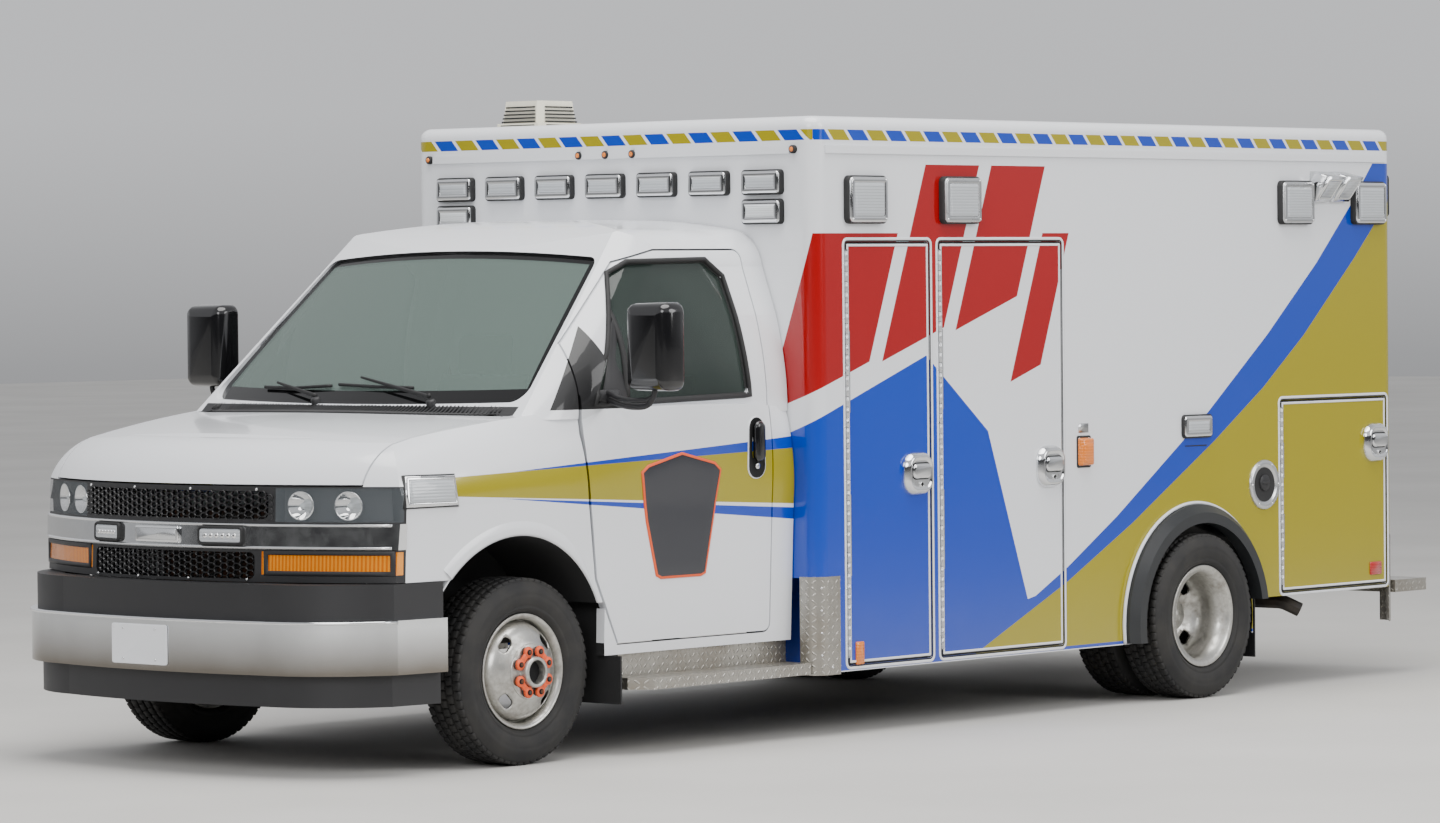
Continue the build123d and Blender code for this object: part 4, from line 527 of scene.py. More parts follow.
def cut(*points):
    """Outline through points, anticlockwise, as a function of how far it is drawn in."""
    def outline(inset=0.0):
        drawn = []
        for i, here in enumerate(points):
            here = Vector(here)
            e0 = (here - Vector(points[i - 1])).normalized()
            e1 = (Vector(points[(i + 1) % len(points)]) - here).normalized()
            n0, n1 = Vector((-e0.y, e0.x)), Vector((-e1.y, e1.x))
            drawn.append(here + (n0 + n1) * (inset / max(0.25, 1 + n0.dot(n1))))
        return [tuple(p) for p in drawn]
    return outline


def softened(points, radius, steps=6):
    """Path whose corners are rounded."""
    points = [Vector(p) for p in points]
    drawn = [points[0]]
    for before, here, after in zip(points, points[1:], points[2:]):
        a, b = (here + (end - here).normalized() * min(radius, (end - here).length / 2) for end in (before, after))
        drawn += [a.lerp(here, t).lerp(here.lerp(b, t), t) for t in (k / steps for k in range(steps + 1))]
    return drawn + [points[-1]]


class Form:
    """Mesh of one piece, grown from outlines, each part in its own finish."""

    def __init__(self, name):
        self.name = name
        self.mesh = bmesh.new()
        self.keys = []

    def skin(self, loops, key, first=False, last=False, closed=True, round_path=False):
        """Faces between loops of equal count that climb outwards."""
        if key not in self.keys:
            self.keys.append(key)
        slot = self.keys.index(key)
        rows = [[self.mesh.verts.new(p) for p in loop] for loop in loops]
        if round_path:
            rows.append(rows[0])
        count = len(rows[0])
        faces = [(low[i], low[(i + 1) % count], high[(i + 1) % count], high[i])
                 for low, high in zip(rows, rows[1:]) for i in range(count if closed else count - 1)]
        if first:
            faces.append(tuple(reversed(rows[0])))
        if last:
            faces.append(tuple(rows[-1]))
        for corners in faces:
            face = self.mesh.faces.new(corners)
            face.material_index = slot
            face.smooth = True
        return self

    def pad(self, place, outline, layers, key, cap=True, base=False):
        """An outline stepped through layers of how far it is drawn in, and how high it stands."""
        loops = [[place @ Vector((x, y, height)) for x, y in outline(inset)] for inset, height in layers]
        return self.skin(loops, key, base, cap)

    def turned(self, place, profile, key, steps=48, ring=False, cap=False, base=False):
        """A profile of radius and height turned about the place's Z."""
        loops = [[place @ Vector((x, y, height)) for x, y in round_points(r, steps)] for r, height in profile]
        return self.skin(loops, key, base, cap, True, ring)

    def tube(self, path, radius, key, steps=10, squash=1.0, closed=False):
        """Round bar along a path."""
        points = [Vector(p) for p in path]
        last = len(points) - 1
        normal, loops = None, []
        for i, here in enumerate(points):
            after = points[(i + 1) % len(points) if closed else min(i + 1, last)]
            ahead = (after - points[i - 1 if closed else max(i - 1, 0)]).normalized()
            if normal is None:
                normal = Vector((0, 0, 1)) if abs(ahead.z) < 0.9 else Vector((0, 1, 0))
            normal = (normal - ahead * normal.dot(ahead)).normalized()
            side = ahead.cross(normal)
            size = radius(i / last) if callable(radius) else radius
            loops.append([here + (normal * x + side * y * squash) * size for x, y in round_points(1.0, steps)])
        return self.skin(loops, key, not closed, not closed, True, closed)

    def made(self, crease=32.0):
        """The object, with sharp edges where it turns more than the crease."""
        for edge in self.mesh.edges:
            edge.smooth = len(edge.link_faces) == 2 and edge.calc_face_angle(3.0) < math.radians(crease)
        mesh = bpy.data.meshes.new(self.name)
        self.mesh.to_mesh(mesh)
        self.mesh.free()
        for key in self.keys:
            mesh.materials.append(finishes[key].material)
        return link(bpy.data.objects.new(self.name, mesh))

    def done(self, body, *nodes, crease=32.0):
        """The object, riding on its body and standing for the CAD nodes named."""
        obj = self.made(crease)
        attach(obj, body)
        if nodes:
            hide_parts(*nodes)
        return obj


def link(obj):
    bpy.context.collection.objects.link(obj)
    return obj


def baked(obj, name):
    """A new mesh with the object's modifiers applied; the object goes."""
    bpy.context.view_layer.update()
    mesh = bpy.data.meshes.new_from_object(obj.evaluated_get(bpy.context.evaluated_depsgraph_get()))
    mesh.name = name
    bpy.data.objects.remove(obj)
    return link(bpy.data.objects.new(name, mesh))


def repeat(name, body, template, key, places, size=1.0, spread=0.0, seed=1):
    """The template's form at each place, as one plain mesh on its body; Geometry Nodes stand it there."""
    pattern = template.made()
    carrier = bpy.data.meshes.new(name + "_points")
    carrier.from_pydata([place.translation for place in places], [], [])
    turns = carrier.attributes.new("turn", "FLOAT_VECTOR", "POINT")
    for item, place in zip(turns.data, places):
        item.vector = place.to_euler()
    tree = bpy.data.node_groups.new(name + "_repeat", "GeometryNodeTree")
    for way in ("INPUT", "OUTPUT"):
        tree.interface.new_socket(name="Geometry", in_out=way, socket_type="NodeSocketGeometry")

    def node(kind, inputs, out=0, **settings):
        made = tree.nodes.new(kind)
        for attribute, value in settings.items():
            setattr(made, attribute, value)
        for socket, value in inputs.items():
            if isinstance(value, bpy.types.NodeSocket):
                tree.links.new(value, made.inputs[socket])
            else:
                made.inputs[socket].default_value = value
        return made.outputs[out] if made.outputs else None

    facing = node("FunctionNodeEulerToRotation", {
        0: node("GeometryNodeInputNamedAttribute", {"Name": "turn"}, "Attribute", data_type="FLOAT_VECTOR")})
    chance = node("FunctionNodeRandomValue", {2: -spread, 3: spread, "Seed": seed}, 1, data_type="FLOAT")
    spin = node("FunctionNodeAxisAngleToRotation", {"Axis": (0, 0, 1), "Angle": chance})
    whole = node("FunctionNodeRotateRotation", {"Rotation": facing, "Rotate By": spin}, rotation_space="LOCAL")
    form = node("GeometryNodeObjectInfo", {"Object": pattern}, "Geometry")
    placed = node("GeometryNodeInstanceOnPoints", {"Points": node("NodeGroupInput", {}), "Instance": form,
                                                   "Rotation": whole, "Scale": (size, size, size)}, "Instances")
    real = node("GeometryNodeRealizeInstances", {"Geometry": placed})
    node("NodeGroupOutput", {0: node("GeometryNodeSetMaterial",
                                     {"Geometry": real, "Material": finishes[key].material})})
    holder = link(bpy.data.objects.new(name + "_points", carrier))
    holder.modifiers.new("repeat", "NODES").node_group = tree
    obj = baked(holder, name)
    bpy.data.objects.remove(pattern)
    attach(obj, body)
    return obj


def touch(nodes, x, y, z, towards):
    """Point and outward direction where a line from outside meets a CAD node; x runs from the front axle."""
    for node in ([nodes] if isinstance(nodes, str) else nodes):
        hit, point, normal, face = frame["nodes"][node].ray_cast(Vector((at(x), y, z)), Vector(towards))
        if hit:
            return point, normal if normal.dot(Vector(towards)) < 0 else -normal
    raise ValueError("the line misses %s at %.3f %.3f %.3f" % (nodes, x, y, z))


def beside(nodes, s, x, z):
    """Where a level line from the vehicle's side meets a CAD node."""
    return touch(nodes, x, s * 1.6, z, (0, -s, 0))


def before(nodes, y, z):
    """Where a level line from ahead meets a CAD node."""
    return touch(nodes, 1.4, y, z, (-1, 0, 0))


def set_on(place, out):
    """Surface place at a point that touch found."""
    return on(out, place.x - front_axle_x, place.y, place.z)


screws = {}


def screw_at(body, place, size=1.0):
    screws.setdefault((body, size), []).append(place)


def screw_head(name, radius=0.005, height=0.0025):
    """Round head with a cross recess."""
    head = Form(name)
    head.pad(Matrix(), disc(radius, 12), ((0, -0.001), (0, height * 0.5), (radius * 0.35, height)), "bright")
    for turn in (0.0, math.pi / 2):
        head.pad(Matrix.Rotation(turn, 4, "Z"), oblong(radius * 1.1, radius * 0.22, 0.0001, 1),
                 ((0, height), (0, height + 0.0002)), "bright")
    return head


# Tyres: turned section with rubbing ribs on its walls, and tread blocks that stand on it
axle_z = 0.358
tyre_half = ((0.2045, 0.0785), (0.2225, 0.0815), (0.228, 0.0905), (0.237, 0.0985), (0.245, 0.103), (0.2475, 0.1012),
             (0.252, 0.1035), (0.262, 0.1075), (0.275, 0.1103), (0.29, 0.1116), (0.296, 0.11), (0.3, 0.1112),
             (0.312, 0.1085), (0.324, 0.1035), (0.3345, 0.0985), (0.342, 0.0945), (0.347, 0.0895), (0.349, 0.08))
# columns: place across the tyre, width, radius, skew in degrees
tread_rows = ((-0.0765, 0.027, 0.3555, 9), (-0.0385, 0.03, 0.357, -7), (0.0, 0.03, 0.3578, 0),
              (0.0385, 0.03, 0.357, 7), (0.0765, 0.027, 0.3555, -9))
tread_count = 62
rim_section = (
    (0.194, -0.088), (0.209, -0.087), (0.215, -0.0915), (0.2195, -0.0912), (0.2215, -0.0875), (0.2205, -0.083),
    (0.203, -0.078), (0.203, 0.078), (0.2205, 0.083), (0.2215, 0.0875), (0.2195, 0.0912), (0.215, 0.0915),
    (0.209, 0.087), (0.202, 0.08), (0.197, 0.066), (0.195, 0.045), (0.194, 0.024), (0.1915, 0.048),
    (0.185, 0.068), (0.175, 0.085), (0.163, 0.0965), (0.15, 0.104), (0.136, 0.111), (0.122, 0.1185),
    (0.112, 0.1245), (0.104, 0.127), (0.062, 0.127), (0.062, 0.118), (0.102, 0.118), (0.118, 0.111),
    (0.134, 0.102), (0.15, 0.0945), (0.165, 0.084), (0.178, 0.068), (0.1855, 0.048), (0.187, 0.02))
front_hub = ((0.107, -0.009), (0.107, 0.002), (0.104, 0.004), (0.066, 0.004), (0.062, 0.008), (0.06, 0.03),
             (0.056, 0.04), (0.047, 0.041), (0.045, 0.036), (0.044, 0.006))
rear_hub = ((0.104, -0.008), (0.104, 0.001), (0.101, 0.003), (0.06, 0.003), (0.056, 0.008), (0.054, 0.04),
            (0.06, 0.044), (0.066, 0.048), (0.066, 0.056), (0.062, 0.06), (0.034, 0.062), (0.03, 0.07), (0.0, 0.074))
nut_count, nut_circle = 8, 0.0825
# columns: name, body, place of the axle, place across of each tyre
wheel_sets = (("front_left", "front_wheel_left", 0.0, (0.864,)), ("front_right", "front_wheel_right", 0.0, (-0.864,)),
              ("rear_left", "rear_wheels_left", -wheelbase, (1.088, 0.834)),
              ("rear_right", "rear_wheels_right", -wheelbase, (-1.088, -0.834)))


def tread_block(width):
    layers = ((-0.001, -0.01), (0.0, -0.002), (0.0022, 0.0))
    return Form("tread_block").pad(Matrix(), oblong(0.0305, width, 0.003, 1), layers, "rubber")


def steel_wheel(name, place):
    """Rim and dished disc with its four hand holes cut through."""
    rim = Form(name).turned(place, rim_section, "steel", 72, ring=True).made(40.0)
    holes = Form(name + "_holes")
    for k in range(4):
        hole = place @ spun(math.pi / 4 + k * math.pi / 2) @ moved(0.151, 0, 0.06)
        holes.pad(hole, oblong(0.036, 0.066, 0.017, 6), ((0, 0), (0, 0.08)), "steel", base=True)
    cutter = holes.made()
    cut_out = rim.modifiers.new("holes", "BOOLEAN")
    cut_out.operation, cut_out.object, cut_out.solver = "DIFFERENCE", cutter, "EXACT"
    wheel = baked(rim, name)
    bpy.data.objects.remove(cutter)
    while len(wheel.data.materials) > 1:
        wheel.data.materials.pop()
    return wheel


def wheel_nut():
    nut = Form("wheel_nut")
    for outline, layers in ((disc(0.0185, 18), ((0, -0.001), (0, 0.003), (0.0015, 0.004))),
                            (disc(0.0155, 6), ((0, 0.003), (0, 0.02), (0.002, 0.0225))),
                            (disc(0.0075, 12), ((0, 0.0225), (0, 0.029), (0.0015, 0.0305)))):
        nut.pad(Matrix(), outline, layers, "iron")
    return nut


def nut_turn(k):
    return 2 * math.pi * (k + 0.5) / nut_count


def nut_links(label, body, nut_place):
    """Orange links that hold the nuts in pairs."""
    links = Form("nut_links_" + label)
    for k in range(0, nut_count, 2):
        ends = [Vector((nut_circle * math.cos(a), nut_circle * math.sin(a), 0.016))
                for a in (nut_turn(k), nut_turn(k + 1))]
        for end in ends:
            eye = nut_place @ Matrix.Translation(end)
            links.pad(eye, disc(0.0215, 24), ((0, 0), (0, 0.008), (0.002, 0.0105)), "orange", base=True)
            links.pad(eye, disc(0.0105, 16), ((0, 0.01), (0, 0.0145), (0.003, 0.0165)), "void")
        run = ends[1] - ends[0]
        bar = nut_place @ Matrix.Translation((ends[0] + ends[1]) / 2) @ spun(math.atan2(run.y, run.x))
        links.pad(bar, oblong(run.length, 0.024, 0.001, 1), ((0, 0.0005), (0, 0.0078), (0.002, 0.0095)), "orange",
                  base=True)
    links.done(body)


for label, body, x, across in wheel_sets:
    s = 1 if across[0] > 0 else -1
    for number, y in enumerate(across):
        tyre = Form("tyre_%s_%d" % (label, number))
        section = [(r, -w) for r, w in tyre_half] + [(r, w) for r, w in reversed(tyre_half)]
        tyre.turned(on((0, s, 0), x, y, axle_z), section, "rubber", 96, ring=True)
        tyre.done(body, body.replace("wheels", "tyres").replace("wheel", "tyre"), crease=50.0)
        for row, (offset, width, radius, skew) in enumerate(tread_rows):
            places = []
            for i in range(tread_count):
                a = 2 * math.pi * (i + 0.5 * (row % 2)) / tread_count
                out = Vector((math.cos(a), 0, math.sin(a)))
                basis = Matrix((Vector((0, 1, 0)).cross(out), Vector((0, 1, 0)), out)).transposed().to_4x4()
                spot = Vector((at(x), y + offset, axle_z)) + out * radius
                places.append(Matrix.Translation(spot) @ basis @ spun(math.radians(skew)))
            repeat("tread_%s_%d_%d" % (label, number, row), body, tread_block(width), "rubber", places)
    single = len(across) == 1
    wheel = steel_wheel("wheel_" + label, on((0, s if single else -s, 0), x, across[0], axle_z))
    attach(wheel, body)
    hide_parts(body)
    hub = Form("hub_" + label)
    if single:
        nut_place = on((0, s, 0), x, across[0] + s * 0.127, axle_z)
        hub.turned(nut_place, front_hub, "steel", 48)
        hub.turned(nut_place, ((0.045, 0.006), (0.02, 0.004)), "void", 32, cap=True)
    else:
        inner = Form("inner_wheel_" + label)
        inner.turned(on((0, s, 0), x, across[1], axle_z), rim_section, "steel", 48, ring=True)
        inner.done(body)
        nut_place = on((0, s, 0), x, s * 0.97, axle_z)
        hub.turned(nut_place, rear_hub, "steel", 40)
    hub.done(body)
    nuts = [nut_place @ spun(nut_turn(k)) @ moved(nut_circle, 0, 0.003) for k in range(nut_count)]
    repeat("nuts_" + label, body, wheel_nut(), "iron", nuts, spread=0.5, seed=3)
    if single:
        nut_links(label, body, nut_place)


# Lamps on the patient module
side_lamp_x = {1: (-1.838, -2.443, -4.815, -5.38), -1: (-1.838, -3.11, -4.815, -5.38)}
flood_section = ((0, 2.295), (0.108, 2.268), (0.026, 2.16), (0, 2.16))
flood_middle_z = 2.2275


def framed_lamp(form, place, width, height, frame_key="bright", lens_key="clear", depth=0.04, corner=0.022,
                screwed=True):
    """Lamp on a black gasket, with a rounded bezel and a stepped lens; the gasket stands tall so that it also serves
    as painted shadow along the bezel's side.
    """
    # black rubber gasket, partly painted shadow: it stands tall to darken the lamp's side
    gasket_and_shadow = oblong(width + 0.01, height + 0.01, corner + 0.004)
    form.pad(place, gasket_and_shadow, ((0, -0.002), (0, depth * 0.6), (0.004, depth * 0.68)), "soft_black")
    bezel = ((0.001, 0.5), (0.001, 0.76), (0.004, 0.88), (0.009, 0.92), (0.022, 0.92), (0.025, 0.88), (0.027, 0.62))
    layers = [(inset, depth * share) for inset, share in bezel]
    form.pad(place, oblong(width, height, corner), layers, frame_key, cap=False)
    form.pad(place, oblong(width - 0.05, height - 0.05, max(0.004, corner - 0.012)),
             ((-0.004, depth * 0.55), (0.0, depth * 0.85), (0.003, depth * 0.98), (0.01, depth)), lens_key)
    if screwed:
        for sx in (-1, 1):
            for sy in (-1, 1):
                screw_at("chassis", place @ moved(sx * (width / 2 - 0.0135), sy * (height / 2 - 0.0135),
                                                  depth * 0.92))


def strip_lamp(form, place, lens_key="clear", depth=0.036):
    framed_lamp(form, place, 0.2, 0.092, "bright", lens_key, depth, 0.014, False)


def flood_lamp(form, s, x):
    """Chrome wedge whose lens looks down."""
    ends = [[Vector((at(x + e), s * (module_half + out * k), flood_middle_z + (z - flood_middle_z) * k))
             for out, z in flood_section] for e, k in ((-0.062, 0.93), (-0.058, 1.0), (0.058, 1.0), (0.062, 0.93))]
    form.skin(ends if s > 0 else [list(reversed(loop)) for loop in ends], "bright", True, True)
    slope = Vector((0, s * (2.268 - 2.16), -(0.108 - 0.026))).normalized()
    face = on(slope, x, s * (module_half + 0.067), 2.214)
    rim = ((0, 0), (0, 0.003), (0.004, 0.004), (0.01, 0.004), (0.011, 0.002))
    form.pad(face, oblong(0.104, 0.112, 0.01), rim, "bright", cap=False)
    form.pad(face, oblong(0.086, 0.094, 0.006), ((0, 0.001), (0.001, 0.003)), "clear")


module_lamps = Form("module_lamps_dressed")
for s in (1, -1):
    for number, x in enumerate(side_lamp_x[s]):
        framed_lamp(module_lamps, side_on(s, x, 2.155), 0.235, 0.185, "bright" if number in (0, 3) else "silver")
    # marker lamp over the rear wheel arch
    framed_lamp(module_lamps, side_on(s, -4.075, 1.18), 0.2, 0.092, "bright", "clear", 0.022, 0.016, False)
    for x in (-5.005, -5.15):
        flood_lamp(module_lamps, s, x)

# front wall: a row of seven over the cab, and one below each end
lamp_step = 0.287
for i in range(-3, 4):
    strip_lamp(module_lamps, on((1, 0, 0), module_front, i * lamp_step, 2.228))
for i in (-3, 3):
    strip_lamp(module_lamps, on((1, 0, 0), module_front, i * lamp_step, 2.11), "frosted")
for y in (-0.15, 0.0, 0.15, -1.02, 1.02):
    spot = on((1, 0, 0), module_front + 0.004, y, 2.357)
    module_lamps.turned(spot, ((0.017, -0.006), (0.017, 0.01), (0.014, 0.014), (0.01, 0.014)), "soft_black", 20)
    module_lamps.turned(spot, ((0.011, 0.01), (0.009, 0.016), (0.004, 0.018)), "amber", 20, cap=True)

# rear wall
for s in (1, -1):
    framed_lamp(module_lamps, rear_on(s * 0.96, 2.19), 0.235, 0.185, "bright", "clear", 0.034, 0.016)
    framed_lamp(module_lamps, rear_on(s * 0.56, 2.245), 0.2, 0.092, "bright", "red", 0.034, 0.016, False)
    tail = rear_on(s * 0.94, 1.0)
    module_lamps.pad(tail, oblong(0.128, 0.408, 0.016),
                     ((0, -0.002), (0, 0.014), (0.005, 0.018), (0.01, 0.018)), "soft_black")
    for z, key in ((0.128, "red"), (0.0, "amber"), (-0.128, "clear")):
        module_lamps.pad(tail @ moved(0, z, 0), oblong(0.108, 0.118, 0.014),
                         ((0, 0.012), (0, 0.024), (0.006, 0.029), (0.016, 0.03)), key)
strip_lamp(module_lamps, rear_on(0.0, 2.245), "amber", 0.03)
module_lamps.done("chassis", "module_lamps")

# Fuel filler, power inlet and drip strips
ports = Form("module_ports")
filler = side_on(1, -4.576, 0.908)
ports.turned(filler, ((0.11, -0.002), (0.11, 0.006), (0.106, 0.011), (0.088, 0.0125), (0.083, 0.01), (0.076, 0.004)),
             "silver", 56)
ports.turned(filler, ((0.077, 0.0045), (0.06, 0.0035), (0.05, 0.003)), "soft_black", 56, cap=True)
ports.turned(filler @ moved(0, 0.008, 0.003), ((0.036, 0.0), (0.036, 0.006), (0.032, 0.0088), (0.012, 0.009)),
             "black", 32, cap=True)
ports.pad(filler @ moved(0, 0.008, 0.0115), oblong(0.052, 0.012, 0.005),
          ((0, 0), (0, 0.003), (0.002, 0.005)), "black")
for k in range(6):
    screw_at("chassis", filler @ spun(k * math.pi / 3) @ moved(0.0975, 0, 0.012))
inlet = side_on(1, -3.275, 1.094)
ports.pad(inlet, oblong(0.094, 0.136, 0.01), ((0, -0.002), (0, 0.004), (0.002, 0.006)), "soft_black")
ports.pad(inlet, oblong(0.088, 0.118, 0.01), ((0, 0.004), (0.003, 0.024), (0.008, 0.029)), "amber")
ports.pad(inlet @ moved(0, -0.006, 0.029), oblong(0.066, 0.084, 0.008),
          ((0, 0), (0.001, 0.003), (0.006, 0.005)), "amber")
ports.pad(inlet @ moved(0, 0.1, 0), oblong(0.07, 0.04, 0.002, 2), ((0, -0.001), (0.0004, 0.0012)), "silver")
for x in (-0.034, 0.034):
    for y in (-0.055, 0.055):
        screw_at("chassis", inlet @ moved(x, y, 0.0055))
for s in (1, -1):
    ports.pad(side_on(s, -4.075, 1.095), oblong(0.16, 0.006, 0.002, 2), ((0, -0.001), (0.001, 0.002)), "soft_black")
ports.done("chassis", "side_ports")

# Reflectors: most lie on the locker doors and turn with them
rear_red, front_amber = (-5.4345, 0.4975, 0.087, 0.059, "red"), (-1.7895, 0.328, 0.049, 0.092, "amber")
for node, body, s, (x, z, width, height, key) in (
        ("locker_door_rear_left", "locker_door_rear_left", 1, rear_red),
        ("locker_door_rear_right", "locker_door_rear_right", -1, rear_red),
        ("locker_door_front_left", "locker_door_front_left", 1, front_amber),
        ("module_shell", "chassis", -1, front_amber)):
    reflector = Form("reflector_%s_%s" % (key, "left" if s > 0 else "right"))
    wall = beside(node, s, x, z)[0]
    reflector.pad(on((0, s, 0), x, wall.y, z), oblong(width, height, 0.006),
                  ((0, -0.001), (0, 0.005), (0.003, 0.008)), key)
    reflector.done(body)


# Module doors. columns: body, side, front edge, rear edge, foot, head
side_door_list = (
    ("locker_door_front_left", 1, -1.721, -2.252, 0.282, 1.985),
    ("locker_door_middle_left", 1, -2.314, -3.13, 0.282, 1.985),
    ("locker_door_rear_left", 1, -4.706, -5.525, 0.425, 1.277),
    ("entry_door_right", -1, -2.15, -2.95, 0.3, 2.105),
    ("locker_door_rear_right", -1, -4.706, -5.525, 0.425, 1.277),
)
# long hinges: how far they end from a door's foot and head, a knuckle's length, and where they stand out to
hinge_end, knuckle_pitch, knuckle_y, hinge_leaf_y = 0.035, 0.0415, 1.126, 1.1228
hinge_screw_size = 0.7


def frame_ring(form, place, width, height, inner, outer, proud, key, corner=0.012):
    """Raised ring from inner to outer beyond a rectangle's edge; negative values lie inside it."""
    edge = oblong(width + 2 * outer, height + 2 * outer, max(0.004, corner + outer), 4)
    band = outer - inner
    soft = min(0.0025, proud * 0.6, band / 3)
    form.pad(place, edge, ((0, -0.0015), (0, proud - soft), (soft, proud), (band - soft, proud), (band, proud - soft),
                           (band, -0.0015)), key, cap=False)


def opening_rings(form, place, width, height):
    """The wall's white frame and its rubber seal."""
    frame_ring(form, place, width, height, 0.0065, 0.018, 0.0032, "white")
    frame_ring(form, place, width, height, 0.0008, 0.0066, 0.0012, "soft_black")


def leaf_rings(form, place, width, height):
    """The door's own seal and white frame."""
    frame_ring(form, place, width, height, -0.0085, -0.0036, 0.0012, "soft_black")
    frame_ring(form, place, width, height, -0.0185, -0.0084, 0.0032, "white")


def paddle_handle(form, place, width, height, corner):
    """Dished bezel over the door's handle seat, with the paddle across it and a lock."""
    paddle = place @ moved(0, height * 0.06, 0)
    dish = ((0, -0.001), (0, 0.007), (0.004, 0.015), (0.01, 0.024), (0.016, 0.03), (0.021, 0.0315), (0.026, 0.03),
            (0.03, 0.0272), (0.036, 0.0266))
    form.pad(place, oblong(width, height, corner, 10), dish, "bright", cap=False)
    form.pad(place, oblong(width - 0.07, height - 0.07, max(0.01, corner - 0.034), 10),
             ((0, 0.0268), (0.01, 0.0267)), "silver")
    form.pad(paddle, oblong(width * 0.62, height * 0.34, 0.018, 6),
             ((0, 0.0262), (0, 0.0335), (0.004, 0.037), (0.01, 0.0382)), "bright")
    form.pad(paddle, oblong(width * 0.66, height * 0.4, 0.02, 6), ((0, 0.0266), (0.002, 0.0276)), "void")
    lock = place @ moved(0, -height * 0.25, 0)
    form.turned(lock, ((0.012, 0.0266), (0.012, 0.0315), (0.0095, 0.033), (0.0085, 0.0322)), "bright", 24)
    form.turned(lock, ((0.0088, 0.032), (0.0, 0.0318)), "void", 16)


def knuckle(radius=0.0068, length=0.04):
    barrel = ((radius - 0.0012, 0.0004), (radius, 0.0014), (radius, length - 0.0014),
              (radius - 0.0012, length - 0.0004))
    return Form("hinge_knuckle").turned(moved(0, 0, -length / 2), barrel, "silver", 12, cap=True, base=True)


trims = Form("module_door_frames")
knuckles = []
for body, s, front, rear, low, high in side_door_list:
    width, height, centre = front - rear, high - low, (front + rear) / 2
    middle = side_on(s, centre, (low + high) / 2)
    opening_rings(trims, middle, width, height)
    leaf = Form(body + "_fittings")
    leaf_rings(leaf, middle, width, height)
    paddle_handle(leaf, side_on(s, rear + 0.092, 1.04 if high > 1.4 else 1.07), 0.176, 0.176, 0.064)
    if body == "entry_door_right":
        frame_ring(leaf, side_on(s, centre, 1.6725), 0.48, 0.505, -0.01, 0.02, 0.006, "soft_black", 0.045)
        bar = on((0, s, 0), centre, s * (module_half - 0.0115), 1.6725)
        frame_ring(leaf, bar, 0.48, 0.505, -0.026, -0.004, 0.006, "silver", 0.04)
        leaf.pad(bar @ moved(0, 0.02, 0), oblong(0.43, 0.018, 0.004, 2),
                 ((0, 0), (0, 0.004), (0.002, 0.006)), "silver")
    leaf.done(body)
    run = height - 2 * hinge_end
    count = round(run / knuckle_pitch)
    knuckles += [moved(at(front), s * knuckle_y, low + hinge_end + (k + 0.5) * run / count) for k in range(count)]
    screw_count = round(height / 0.21)
    for k in range(screw_count):
        z = low + 0.09 + k * (height - 0.18) / max(1, screw_count - 1)
        screw_at("chassis", on((0, s, 0), front + 0.0122, s * hinge_leaf_y, z), hinge_screw_size)
        screw_at(body, on((0, s, 0), front - 0.0136, s * hinge_leaf_y, z), hinge_screw_size)

# rear doors
rear_width, rear_height, rear_middle_z = 1.43, 1.45, 1.425
rear_hinge_y, rear_hinge_foot, rear_hinge_run, rear_knuckle_count = 0.715, 0.735, 1.38, 33
opening_rings(trims, rear_on(0.0, rear_middle_z), rear_width, rear_height)
rail = ((0.24, -0.001), (0.24, 0.03), (0.27, 0.038), (0.53, 0.038), (0.56, 0.03), (0.56, -0.001))
for s, side_name in side_names:
    body = "rear_door_" + side_name
    leaf = Form(body + "_fittings")
    leaf_rings(leaf, rear_on(s * rear_width / 4, rear_middle_z), rear_width / 2, rear_height)
    frame_ring(leaf, rear_on(s * 0.3675, 1.705), 0.475, 0.61, -0.01, 0.02, 0.006, "soft_black", 0.045)
    paddle_handle(leaf, rear_on(s * 0.095, 1.09), 0.114, 0.184, 0.05)
    for z in (0.86, 1.3):
        leaf.tube(softened([Vector((at(module_rear) - out, s * y, z)) for y, out in rail], 0.02, 5), 0.011, "bright",
                  12)
        for y in (0.24, 0.56):
            leaf.turned(rear_on(s * y, z), ((0.021, -0.001), (0.021, 0.003), (0.018, 0.005), (0.01, 0.006)),
                        "bright", 24, cap=True)
    leaf.done(body)
    knuckles += [moved(at(module_rear) - 0.006, s * rear_hinge_y,
                       rear_hinge_foot + (k + 0.5) * rear_hinge_run / rear_knuckle_count)
                 for k in range(rear_knuckle_count)]
    for z in (0.79 + k * 0.212 for k in range(7)):
        screw_at("chassis", rear_on(s * 0.7272, z, 0.0028), hinge_screw_size)
        screw_at(body, rear_on(s * 0.7014, z, 0.0028), hinge_screw_size)
trims.done("chassis")
repeat("hinge_knuckles", "chassis", knuckle(), "silver", knuckles)

# Light bead round the flares, corner guards' screws and the vent's ribs
bead = Form("flare_beads")
bead_radius = 0.512
for s in (1, -1):
    arc = [math.radians(-8.0 + 2.25 * k) for k in range(81)]
    bead.tube([Vector((at(rear_arch_x) + bead_radius * math.cos(a), s * 1.127,
                       rear_arch_z + bead_radius * math.sin(a))) for a in arc], 0.008, "white", 8)
bead.done("chassis")
for s in (1, -1):
    for x, z in ((-1.565, 0.6), (-1.565, 0.51), (-1.565, 0.42), (-1.565, 0.33), (-1.62, 0.28)):
        screw_at("chassis", set_on(*beside("corner_guards", s, x, z)))

vent = Form("roof_vent_ribs")
for k in range(6):
    for turn in range(4):
        wall = moved(0.452, -0.78, 2.0) @ spun(turn * math.pi / 2)
        place = wall @ moved(0.1335 - k * 0.0035, 0, 0.503 + k * 0.0155) @ spun(math.pi / 2, "Y")
        vent.pad(place, oblong(0.006, 0.2 - k * 0.006, 0.002, 2),
                 ((0, -0.004), (0, 0.001), (0.0012, 0.0025)), "soft_black")
vent.done("chassis")


